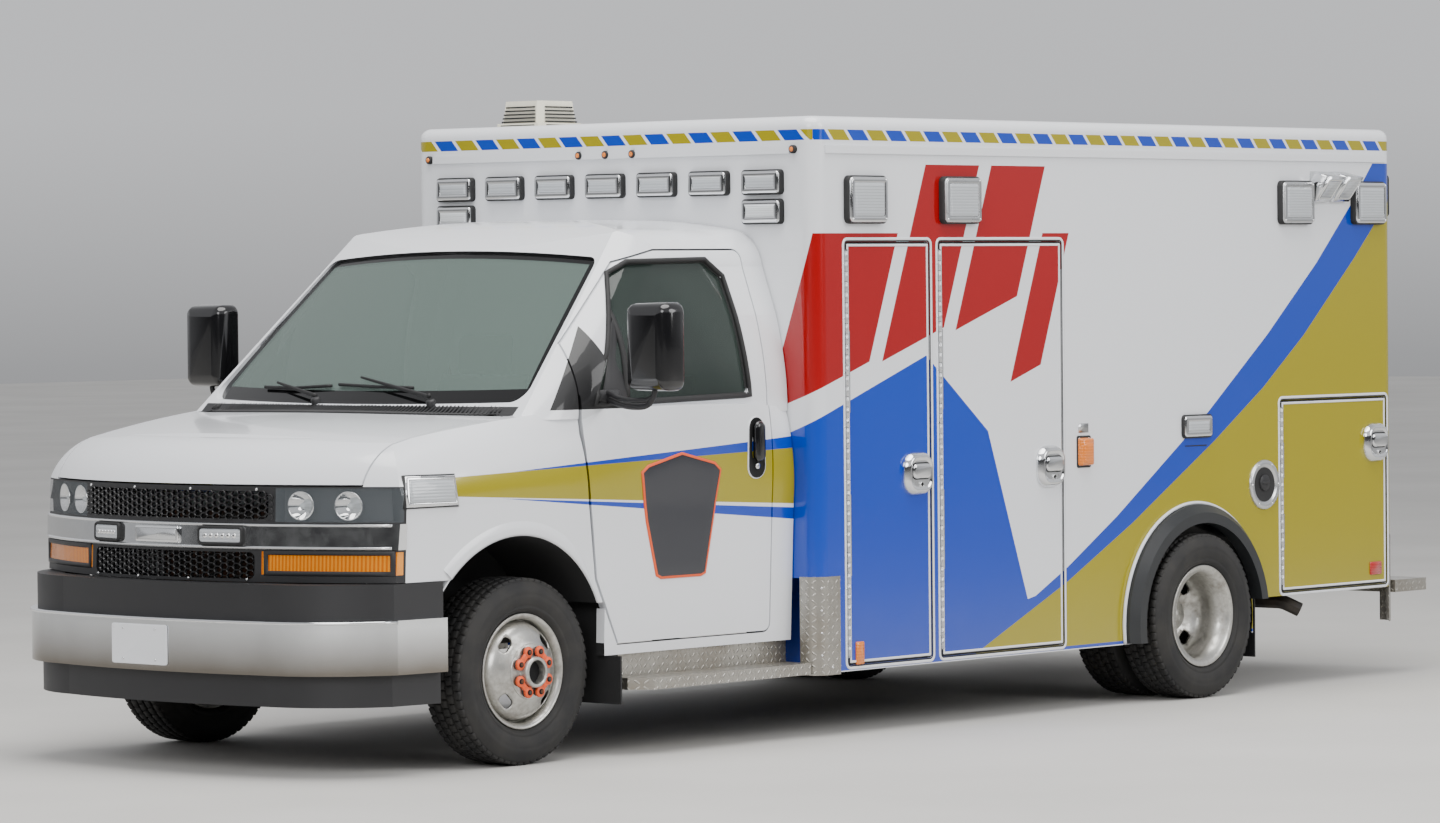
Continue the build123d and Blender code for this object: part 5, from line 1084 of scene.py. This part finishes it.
# Forms that follow a side of the vehicle
def side_loop(nodes, s, points, height):
    """Points given along and up, laid on a node's side and raised from it."""
    hits = [beside(nodes, s, x, z) for x, z in (reversed(points) if s > 0 else points)]
    return [place + out * height for place, out in hits]


def drape(form, nodes, s, outline, layers, key, cap=True):
    """An anticlockwise outline laid on a node's side, stepped through insets and heights."""
    return form.skin([side_loop(nodes, s, outline(inset), height) for inset, height in layers], key, False, cap)


def shifted(outline, by):
    return lambda inset=0.0: outline(inset + by)


def dense(points, step=0.035):
    """Extra points along the long straight runs of an outline."""
    drawn = []
    for a, b in zip(points, points[1:] + points[:1]):
        count = max(1, round((Vector(b) - Vector(a)).length / step))
        drawn += [tuple(Vector(a).lerp(Vector(b), k / count)) for k in range(count)]
    return drawn


window_edge = ((-0.395, 1.362), (-0.66, 1.868), (-0.76, 1.912), (-1.18, 1.919), (-1.264, 1.853), (-1.297, 1.379))
plaque_edge = ((-0.854, 1.166), (-1.052, 1.122), (-1.092, 1.092), (-1.06, 0.9), (-1.018, 0.683), (-0.99, 0.673),
               (-0.754, 0.673), (-0.725, 0.685), (-0.66, 0.9), (-0.622, 1.096), (-0.66, 1.122))
handle_x, handle_z = -1.302, 1.17
sail_edge = ((-0.59, 1.372), (-0.425, 1.372), (-0.47, 1.462), (-0.59, 1.69))


def window_fittings(leaf, s, door, glass):
    # rubber round the window, from the door's skin to the glass
    edge = cut(*dense(window_edge))
    lip = side_loop((door, glass, "cab_shell"), s, edge(-0.001), 0.001)
    seat = side_loop((glass, door), s, edge(0.012), 0.0015)
    leaf.tube(lip, 0.0105, "soft_black", 8, closed=True)
    leaf.skin([lip, [a.lerp(b, 0.5) for a, b in zip(lip, seat)], seat], "soft_black")
    # window divider and sail plate
    bar = [beside((door, glass), s, -0.59 - 0.006 * k / 8, 1.38 + (1.735 - 1.38) * k / 8) for k in range(9)]
    leaf.tube([place + out * 0.001 for place, out in bar], 0.0105, "soft_black", 8, 1.4)
    drape(leaf, (door, glass, "cab_shell"), s, cut(*sail_edge),
          ((0, 0.0015), (0, 0.008), (0.004, 0.011), (0.02, 0.012)), "black")


def door_handle(leaf, s, door):
    """Dark recess with a lifting grip and a lock."""
    edge = oblong(0.098, 0.24, 0.046, 6)

    def recess(inset=0.0):
        return [(handle_x + u, handle_z + v) for u, v in edge(inset)]
    drape(leaf, door, s, recess,
          ((0, -0.001), (0, 0.0045), (0.003, 0.006), (0.007, 0.006), (0.01, 0.0022), (0.02, 0.0018)), "void")
    drape(leaf, door, s, shifted(recess, -0.004),
          ((0, -0.001), (0, 0.002), (0.002, 0.0045), (0.004, 0.0045)), "white", False)
    grip = set_on(*beside(door, s, handle_x, handle_z + 0.025))
    leaf.pad(grip, oblong(0.058, 0.16, 0.026, 6),
             ((0.006, 0.002), (0, 0.012), (0, 0.022), (0.006, 0.029), (0.016, 0.031)), "gloss_black")
    leaf.turned(grip @ moved(0, -0.098, 0), ((0.013, 0.001), (0.013, 0.008), (0.01, 0.01), (0.003, 0.0102)), "bright",
                24, cap=True)


def plaque(leaf, s, door):
    """Plain plaque with an orange rim."""
    shield = cut(*dense(plaque_edge))
    drape(leaf, door, s, shield, ((0.0, -0.001), (0.0, 0.003), (0.0025, 0.0045), (0.01, 0.0045)), "orange", False)
    inner = shield(0.01)
    middle = Vector((sum(x for x, z in inner), sum(z for x, z in inner))) / len(inner)
    leaf.skin([side_loop(door, s, [middle.lerp(Vector(p), share) for p in inner], 0.0036 if share == 1.0 else 0.0042)
               for share in (1.0, 0.97, 0.8, 0.6, 0.4, 0.2)], "plaque", False, True)


def mirror(leaf, s, side_name, door, glass):
    """Bracket and arms on the door, then the head with its flat and its small wide glass."""
    foot = beside(glass, s, -0.5, 1.4)[0]
    leaf.pad(on((0.15, s, 0.1), -0.47, foot.y + s * 0.006, 1.392), oblong(0.12, 0.052, 0.016, 4),
             ((0, -0.01), (0, 0.01), (0.006, 0.017), (0.016, 0.02)), "black")
    for dz in (0.0, 0.026):
        arm = ((-0.462, foot.y + s * 0.012, 1.382 + dz), (-0.452, s * 1.08, 1.352 + dz), (-0.45, s * 1.2, 1.352 + dz),
               (-0.45, s * 1.236, 1.398), (-0.45, s * 1.236, 1.44))
        leaf.tube([Vector((at(x), y, z)) for x, y, z in softened(arm, 0.05, 6)], 0.0105, "black", 10)
    head = Form("mirror_head_" + side_name)
    back = on((-1, 0, 0), -0.395, s * 1.235, 1.585)
    shell = ((0.05, -0.006), (0.022, 0.001), (0.008, 0.016), (0.001, 0.045), (0, 0.08), (0, 0.098), (0.002, 0.1035),
             (0.006, 0.105), (0.01, 0.1035), (0.012, 0.097))
    head.pad(back, oblong(0.222, 0.34, 0.04, 6), shell, "gloss_black", cap=False, base=True)
    rise = ((0, 0.0968), (0, 0.0985), (0.003, 0.1))
    head.pad(back @ moved(0, 0.052, 0), oblong(0.198, 0.21, 0.022, 6), rise, "mirror")
    head.pad(back @ moved(0, -0.112, 0), oblong(0.198, 0.092, 0.02, 6), (*rise, (0.02, 0.102)), "mirror")
    head.pad(back, oblong(0.2, 0.318, 0.03, 6), ((0, 0.096), (0.001, 0.0968)), "void")
    head.pad(on((1, 0, 0), -0.4015, s * 1.235, 1.555), oblong(0.02, 0.15, 0.006, 3),
             ((0, -0.006), (0, 0.004), (0.003, 0.0065)), "amber")
    return head


for s, side_name in side_names:
    door, glass = "cab_door_" + side_name, "door_glass_" + side_name
    leaf = Form(door + "_fittings")
    window_fittings(leaf, s, door, glass)
    door_handle(leaf, s, door)
    plaque(leaf, s, door)
    head = mirror(leaf, s, side_name, door, glass)
    leaf.done(door)
    head.done(door, "mirror_" + side_name)

# Fender lips, lamps and the cab's small fittings
arch_radius = 0.4925
# columns: angle in degrees, how far out the lip reaches
lip_reach = ((44, 0.549), (105, 0.549), (118, 0.545), (127, 0.536), (144, 0.51), (154, 0.499))
fender_lamp = cut((0.392, 1.008), (0.652, 1.008), (0.64, 1.116), (0.404, 1.116))
lamp_hosts = ("cab_shell", "front_lamps", "front_mask")


def lip_point(s, degrees, share, height):
    """Point on the fender, part of the way from the arch's edge to the lip's reach."""
    (a0, r0), (a1, r1) = [pair for pair in zip(lip_reach, lip_reach[1:]) if pair[0][0] <= degrees <= pair[1][0]][0]
    r = arch_radius + (r0 + (r1 - r0) * (degrees - a0) / (a1 - a0) - arch_radius) * share
    a = math.radians(degrees)
    place = beside("cab_shell", s, front_arch_x + r * math.cos(a), front_arch_z + r * math.sin(a))[0]
    return Vector((place.x, place.y + s * height, place.z))


trim = Form("fender_trim")
for s in (1, -1):
    rows = [[lip_point(s, 44 + 110 * k / 44, share, height) for k in range(45)]
            for share, height in ((0.0, -0.012), (0.0, 0.004), (0.16, 0.0085), (0.55, 0.0075), (1.0, -0.0005))]
    trim.skin([list(reversed(row)) for row in rows] if s > 0 else rows, "white", closed=False)
    # the black ring, wider than the lamp's bezel, is painted shadow round the lamp; then come the bright bezel and
    # the clear lens
    for outset, layers, key, cap in (
            (-0.007, ((0, -0.001), (0, 0.006), (0.004, 0.009), (0.01, 0.009)), "soft_black", False),
            (0.0, ((0, 0.004), (0, 0.012), (0.003, 0.015), (0.011, 0.016), (0.014, 0.013), (0.015, 0.006)), "bright",
             False),
            (0.014, ((0, 0.006), (0.001, 0.014), (0.006, 0.0165), (0.02, 0.017)), "clear", True)):
        drape(trim, lamp_hosts, s, shifted(fender_lamp, outset), layers, key, cap)
trim.done("chassis")

# Cowl slats, wherever the cowl looks up
slats = Form("cowl_slats")
for n in range(87):
    y = -0.8 + 0.0186 * n
    rays = [frame["nodes"]["cowl"].ray_cast(Vector((at(-0.12 + 0.28 * k / 59), y, 1.8)), Vector((0, 0, -1)))
            for k in range(60)]
    hits = [point for hit, point, normal, face in rays if hit and normal.z > 0.5]
    if len(hits) > 5:
        first, middle, last = hits[1], hits[len(hits) // 2], hits[-2]
        spots = ((first.x, first.z), ((first.x + last.x) / 2, middle.z), (last.x, last.z))
        slats.tube([Vector((x, y, z + 0.001)) for x, z in spots], 0.0042, "black", 6)
slats.done("chassis")

# Wipers. columns: pivot, the arm's ends, the blade's ends and middle
wipers = Form("wipers")
for pivot, arm, blade in (
        ((-0.02, 0.46, 1.368), ((-0.02, 0.45, 1.372), (-0.05, 0.01, 1.462)),
         ((-0.03, -0.11, 1.446), (-0.014, 0.113, 1.436), (-0.11, 0.3, 1.436))),
        ((-0.004, -0.16, 1.372), ((-0.012, -0.178, 1.37), (-0.075, -0.47, 1.44)),
         ((-0.03, -0.56, 1.44), (-0.042, -0.38, 1.43), (-0.11, -0.15, 1.44)))):
    for points, lift, radius, squash in ((arm, 0.03, lambda t: 0.01 - 0.005 * t, 0.8), (blade, 0.012, 0.0065, 1.0)):
        path = []
        for k in range(15):
            run = k / 14 * (len(points) - 1)
            leg = min(int(run), len(points) - 2)
            p = Vector(points[leg]).lerp(Vector(points[leg + 1]), run - leg)
            hit, place, normal, face = frame["nodes"]["windscreen"].ray_cast(
                Vector((at(0.9), p.y, p.z + 0.25)), Vector((-1, 0, -0.27)).normalized())
            beyond = Vector((at(p.x), p.y, p.z + lift))
            path.append(place + Vector((0.42, 0, 0.9)).normalized() * lift if hit else beyond)
        wipers.tube(path, radius, "soft_black", 8, squash)
    wipers.turned(on((0.3, 0, 1), *pivot), ((0.02, -0.03), (0.02, 0.012), (0.016, 0.018), (0.006, 0.02)), "black", 20,
                  cap=True)
wipers.done("chassis")


# Front end: everything lies on a nose of one radius about an upright axis behind it
nose_centre, nose_radius = -0.865, 1.8275
ahead_on = (1, 0, 0)


def nose(y):
    return nose_centre + math.sqrt(nose_radius * nose_radius - y * y)


def nose_form(form, outline, layers, key, cap, z):
    """An outline across and up, laid on the nose at a height and raised from it."""
    form.skin([[Vector((at(nose(u) + height), u, v + z)) for u, v in outline(inset)] for inset, height in layers],
              key, False, cap)


# The grille's mesh: flattened hexagons whose walls have a softened face
cell_half_width, cell_half_height, cell_pitch_y = 0.0196, 0.0122, 0.0588
cell_wall = ((0, -0.004), (0, 0.001), (0.001, 0.003), (0.0022, 0.002), (0.0026, -0.012))
# columns: half width, foot, head
mesh_fields = ((0.5, 0.966, 1.062), (0.436, 0.742, 0.834))


def cell_ring():
    corners = [(cell_half_width * math.cos(a), cell_half_height * math.sin(a) / math.sin(math.pi / 3))
               for a in (k * math.pi / 3 for k in range(6))]

    def hexagon(inset=0.0):
        return [(x * (1 - inset / cell_half_width), y * (1 - inset / cell_half_height)) for x, y in corners]
    return Form("mesh_cell").pad(Matrix(), hexagon, cell_wall, "gloss_black", cap=False)


mesh_places = []
for y_half, z_low, z_high in mesh_fields:
    row, z = 0, z_low + 0.004
    while z < z_high + 0.004:
        y = -y_half + cell_pitch_y / 2 * (row % 2)
        while y < y_half:
            mesh_places.append(on((1, y * 0.55, 0), nose(y) - 0.008, y, z))
            y += cell_pitch_y
        row += 1
        z += cell_half_height
grille = repeat("grille_cells", "chassis", cell_ring(), "gloss_black", mesh_places)
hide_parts("grille_mesh")

surround = Form("grille_surrounds")
for width, height, z in ((1.03, 0.132, 1.014), (0.91, 0.116, 0.788)):
    nose_form(surround, oblong(width, height, 0.018, along=13),
              ((0, -0.004), (0, 0.0045), (0.003, 0.0085), (0.011, 0.009), (0.014, 0.006), (0.015, -0.02)),
              "gloss_black", False, z)
    nose_form(surround, oblong(width + 0.02, height + 0.02, 0.02, along=13), ((0.012, -0.062), (0.016, -0.0615)),
              "void", True, z)
for y in (-0.46, -0.155, 0.155, 0.46):
    screw_at("chassis", on((1, y * 0.55, 0), nose(y) + 0.0085, y, 1.0735))
    screw_at("chassis", on((1, y * 0.5, 0), nose(y * 0.9) + 0.0085, y * 0.9, 0.7365))

# warning lamps set in the bright bar, and the plain bar in its middle
bar_lamps = Form("bar_lamps")
bar_z = 0.8985
for low_y, high_y in ((-0.424, -0.245), (0.193, 0.405)):
    spot = set_on(*before("grille_bar", (low_y + high_y) / 2, bar_z))
    width = high_y - low_y
    bar_lamps.pad(spot, oblong(width, 0.074, 0.018, 5),
                  ((0, -0.002), (0, 0.01), (0.004, 0.016), (0.008, 0.017), (0.011, 0.014), (0.012, 0.006)),
                  "soft_black", cap=False)
    bar_lamps.pad(spot, oblong(width - 0.022, 0.052, 0.012, 5),
                  ((0, 0.004), (0.0005, 0.013), (0.004, 0.0155), (0.012, 0.016)), "clear")
    for k in range(6):
        bar_lamps.turned(spot @ moved((k - 2.5) * (width - 0.05) / 6, 0, 0.0155),
                         ((0.0105, 0.0), (0.0095, 0.0022), (0.004, 0.003)), "reflector", 14, cap=True)
middle_y = -0.026
middle_x = before("grille_bar", middle_y, bar_z)[0].x - front_axle_x
bar_lamps.pad(on(ahead_on, middle_x, middle_y, bar_z), oblong(0.24, 0.064, 0.01, 4),
              ((0, -0.003), (0, 0.006), (0.003, 0.01), (0.01, 0.0105)), "bright")
bar_lamps.pad(on(ahead_on, middle_x + 0.0105, middle_y, bar_z), oblong(0.218, 0.044, 0.006, 4),
              ((0, -0.001), (0.001, 0.0012)), "silver")
bar_lamps.done("chassis")

# headlamps: bright bowls with bulbs under the cover, and frames round the ribbed turn lamps
bowls = Form("headlamp_bowls")
bowl_radius, bowl_z = 0.052, 1.012
bowl_section = [(bowl_radius + 0.004, -0.004), (bowl_radius + 0.004, 0.0), (bowl_radius, 0.0)]
bowl_section += [(bowl_radius * math.sqrt(1 - t), -0.034 * t) for t in (0.08, 0.2, 0.35, 0.5, 0.65, 0.8, 0.9)]
turn_low, turn_high, turn_foot, turn_head = 0.48, 0.964, 0.752, 0.8475
turn_ray_z = 0.799


def turn_lamp_loop(s, inset, lift):
    """Outline of the turn lamp, which follows its curved face."""
    low, high = turn_low + inset, turn_high - inset
    spots = [(low + (high - low) * k / 16, turn_foot + inset) for k in range(17)]
    spots += [(high - (high - low) * k / 16, turn_head - inset) for k in range(17)]
    loop = []
    for y, z in (spots if s > 0 else reversed(spots)):
        place, out = before(("front_lamps", "front_mask"), s * y, turn_ray_z)
        loop.append(Vector((place.x, place.y, z)) + out * lift)
    return loop


for s in (1, -1):
    for y, lean in ((0.612, 0.3), (0.79, 0.42)):
        face = before("front_lamps", s * y, bowl_z)[0]
        spot = on((1, s * lean, 0), face.x - front_axle_x - 0.015, s * y, bowl_z)
        bowls.turned(spot, bowl_section, "reflector", 32, cap=True)
        bowls.turned(spot @ moved(0, 0, -0.03), ((0.012, 0.0), (0.012, 0.012), (0.009, 0.018), (0.003, 0.02)),
                     "frosted", 16, cap=True)
    bowls.skin([turn_lamp_loop(s, inset, lift) for inset, lift in (
        (0, -0.004), (0, 0.003), (0.003, 0.006), (0.015, 0.006), (0.018, 0.003), (0.018, -0.002))], "black")
bowls.done("chassis")

# blank plate with its screws, and bright rolled edges. columns: node, height, how far it runs out, radius
bumper = Form("bumper_details")
plate_y, plate_z = -0.036, 0.486
plate_x = before("front_bumper", plate_y, plate_z)[0].x - front_axle_x + 0.003
plate_spot = on(ahead_on, plate_x, plate_y, plate_z)
bumper.pad(plate_spot, oblong(0.305, 0.152, 0.01, 4),
           ((0, -0.004), (0, 0.0012), (0.001, 0.0022), (0.006, 0.0024), (0.009, 0.0016)), "white")
for u in (-0.089, 0.089):
    for v in (-0.058, 0.058):
        screw_at("chassis", plate_spot @ moved(u, v, 0.002))
for node, z, reach, radius in (("front_bumper", 0.5835, 0.985, 0.0065), ("grille_bar", 0.9405, 0.955, 0.005),
                               ("grille_bar", 0.856, 0.955, 0.005)):
    line = [before(node, -reach + 2 * reach * k / 60, z) for k in range(61)]
    bumper.tube([place + out * 0.001 for place, out in line], radius, "bright", 8)
bumper.done("chassis")


# Seats: crowned cushions with sewn channels on a plain frame
def cushion(name, place, width, length, thick, channels=(-0.45, 0.45), grid=26):
    """Crowned closed form whose face is drawn in along its seams."""
    form = Form(name)
    front, back = [], []
    for j in range(grid + 1):
        v = -1 + 2 * j / grid
        row, under = [], []
        for i in range(grid + 1):
            u = -1 + 2 * i / grid
            crown = max(0.0, (1 - abs(u) ** 5) * (1 - abs(v) ** 5)) ** 0.35
            seam = min([1.0] + [abs(u - c) / 0.05 for c in channels])
            height = thick * (0.5 + 0.5 * crown) + 0.01 * crown * math.cos(v * 1.5)
            height -= 0.008 * (1 - seam) * (abs(v) < 0.9)
            waist = 1 - 0.03 * (1 - abs(u) ** 2) * (abs(v) > 0.9) - 0.03 * (1 - abs(v) ** 2) * (abs(u) > 0.9)
            for line, rise in ((row, height), (under, thick * 0.5 * (1 - crown))):
                line.append(place @ Vector((u * width / 2 * waist, v * length / 2 * waist, rise)))
        front.append(row)
        back.append(under[::-1])
    form.skin(front, "cloth", closed=False)
    form.skin(back, "cloth", closed=False)
    bmesh.ops.remove_doubles(form.mesh, verts=form.mesh.verts, dist=0.0006)
    bmesh.ops.recalc_face_normals(form.mesh, faces=form.mesh.faces)
    made = form.done("chassis", crease=60.0)
    return made


def leant(x, y, z, degrees):
    """Place on a seat's back: Z forward, Y up the back."""
    return moved(at(x), y, z) @ spun(math.radians(degrees), "Y") @ spun(math.pi / 2)


for s, side_name in ((1, "driver"), (-1, "passenger")):
    y = s * 0.46
    cushion("seat_cushion_" + side_name, moved(at(-1.0), y, 0.775), 0.5, 0.5, 0.135)
    cushion("seat_back_" + side_name, leant(-1.262, y, 1.14, 78), 0.49, 0.62, 0.12)
    cushion("head_rest_" + side_name, leant(-1.325, y, 1.53, 82), 0.27, 0.17, 0.095, ())
    base = Form("seat_base_" + side_name)
    base.pad(moved(at(-1.0), y, 0.645), oblong(0.44, 0.42, 0.04), ((0, 0), (0, 0.105), (0.004, 0.11), (-0.01, 0.13)),
             "black", base=True)
    for dy in (-0.06, 0.06):
        base.tube([Vector((at(-1.305), y + dy, 1.38)), Vector((at(-1.318), y + dy, 1.56))], 0.006, "bright", 8)
    base.done("chassis")
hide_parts("cab_seats")

# Screw heads, a mesh for each body and size
for (body, size), places in screws.items():
    repeat("screws_%s_%d" % (body, round(size * 10)), body, screw_head("screw"), "bright", places, size=size,
           spread=3.14, seed=5)


# Camera, floor and light
camera_place = Vector((16.9507, 14.8657, 1.8505))
camera_turn, camera_pitch, camera_roll = 3.86696, -0.025447, -0.00974
ahead = Vector((math.cos(camera_pitch) * math.cos(camera_turn), math.cos(camera_pitch) * math.sin(camera_turn),
                math.sin(camera_pitch)))
level_right = ahead.cross(Vector((0, 0, 1))).normalized()
level_up = level_right.cross(ahead)
right = level_right * math.cos(camera_roll) + level_up * math.sin(camera_roll)
up = -level_right * math.sin(camera_roll) + level_up * math.cos(camera_roll)
camera = link(bpy.data.objects.new("camera", bpy.data.cameras.new("camera")))
camera.matrix_world = Matrix.Translation(camera_place) @ Matrix((right, up, -ahead)).transposed().to_4x4()
camera.data.sensor_width = 36.0
camera.data.lens = 132.51
camera.data.clip_end = 200.0
bpy.context.scene.camera = camera

floor_half = 60
floor_finish = Finish("pale_floor", white, 0.75)
floor_cloud = floor_finish.noise(0.5, 3.0).spread(0.0, 1.0, 0.3, 0.7)
floor_finish.set(Base_Color=floor_finish.mix(floor_cloud, tint(192, 190, 186), tint(204, 202, 198)))
floor_mesh = bpy.data.meshes.new("floor")
floor_mesh.from_pydata([(sx * floor_half, sy * floor_half, 0) for sx, sy in ((-1, -1), (1, -1), (1, 1), (-1, 1))], [],
                       [(0, 1, 2, 3)])
floor_mesh.materials.append(floor_finish.material)
floor = link(bpy.data.objects.new("floor", floor_mesh))
floor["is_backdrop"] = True

# Sky, brightest a little above the horizon, with a dim band low down on the camera's side for bright parts to reflect
world = bpy.data.worlds.new("studio")
world.use_nodes = True
sky = world.node_tree


def sky_node(kind, inputs, out=0, **settings):
    made = sky.nodes.new("ShaderNode" + kind)
    for attribute, value in settings.items():
        setattr(made, attribute, value)
    for socket, value in inputs.items():
        if isinstance(value, bpy.types.NodeSocket):
            sky.links.new(value, made.inputs[socket])
        else:
            made.inputs[socket].default_value = value
    return made.outputs[out]


def sky_ramp(*stops):
    """Grey levels at heights, from straight down at 0 to straight up at 1."""
    ramp = sky_node("ValToRGB", {"Fac": height}).node
    while len(ramp.color_ramp.elements) < len(stops):
        ramp.color_ramp.elements.new(0.5)
    for element, (spot, level) in zip(ramp.color_ramp.elements, stops):
        element.position = spot
        element.color = (level, level * 1.01, level * 1.04, 1.0)
    return ramp.outputs["Color"]


direction = sky_node("TexCoord", {}, "Generated")
height = sky_node("MapRange", {"Value": sky_node("SeparateXYZ", {0: direction}, "Z"), "From Min": -1.0})
plain_sky = sky_ramp((0.0, 0.3), (0.49, 0.42), (0.515, 0.8), (0.62, 1.0), (0.8, 0.86), (1.0, 0.6))
banded_sky = sky_ramp((0.0, 0.1), (0.49, 0.14), (0.505, 0.05), (0.565, 0.1), (0.6, 0.95), (0.8, 0.95), (1.0, 0.6))
sunward = sky_node("VectorMath", {0: direction, 1: (0.74, 0.66, 0.0)}, "Value", operation="DOT_PRODUCT")
toward = sky_node("MapRange", {"Value": sunward, "From Min": -0.25, "From Max": 0.25})
mixed = sky_node("Mix", {0: toward, 6: plain_sky, 7: banded_sky}, 2, data_type="RGBA")
background = sky.nodes["Background"]
sky.links.new(mixed, background.inputs[0])
background.inputs[1].default_value = 0.85
bpy.context.scene.world = world

for name, place, aim, size, watts, colour in (
        ("sky_light", (2, 2, 11), (0, 0, 0), 10.0, 1500, (1.0, 0.99, 0.97)),
        ("front_light", (12, 6, 6), (0, 0, 1), 6.0, 520, (1.0, 1.0, 1.0)),
        ("side_light", (-3, 12, 6), (-1, 0, 1), 7.0, 620, (1.0, 1.0, 1.0))):
    lamp = link(bpy.data.objects.new(name, bpy.data.lights.new(name, "AREA")))
    lamp.data.shape, lamp.data.size, lamp.data.energy, lamp.data.color = "DISK", size, watts, colour
    lamp.location = place
    lamp.rotation_euler = (Vector(aim) - Vector(place)).to_track_quat("-Z", "Y").to_euler()

low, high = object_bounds()
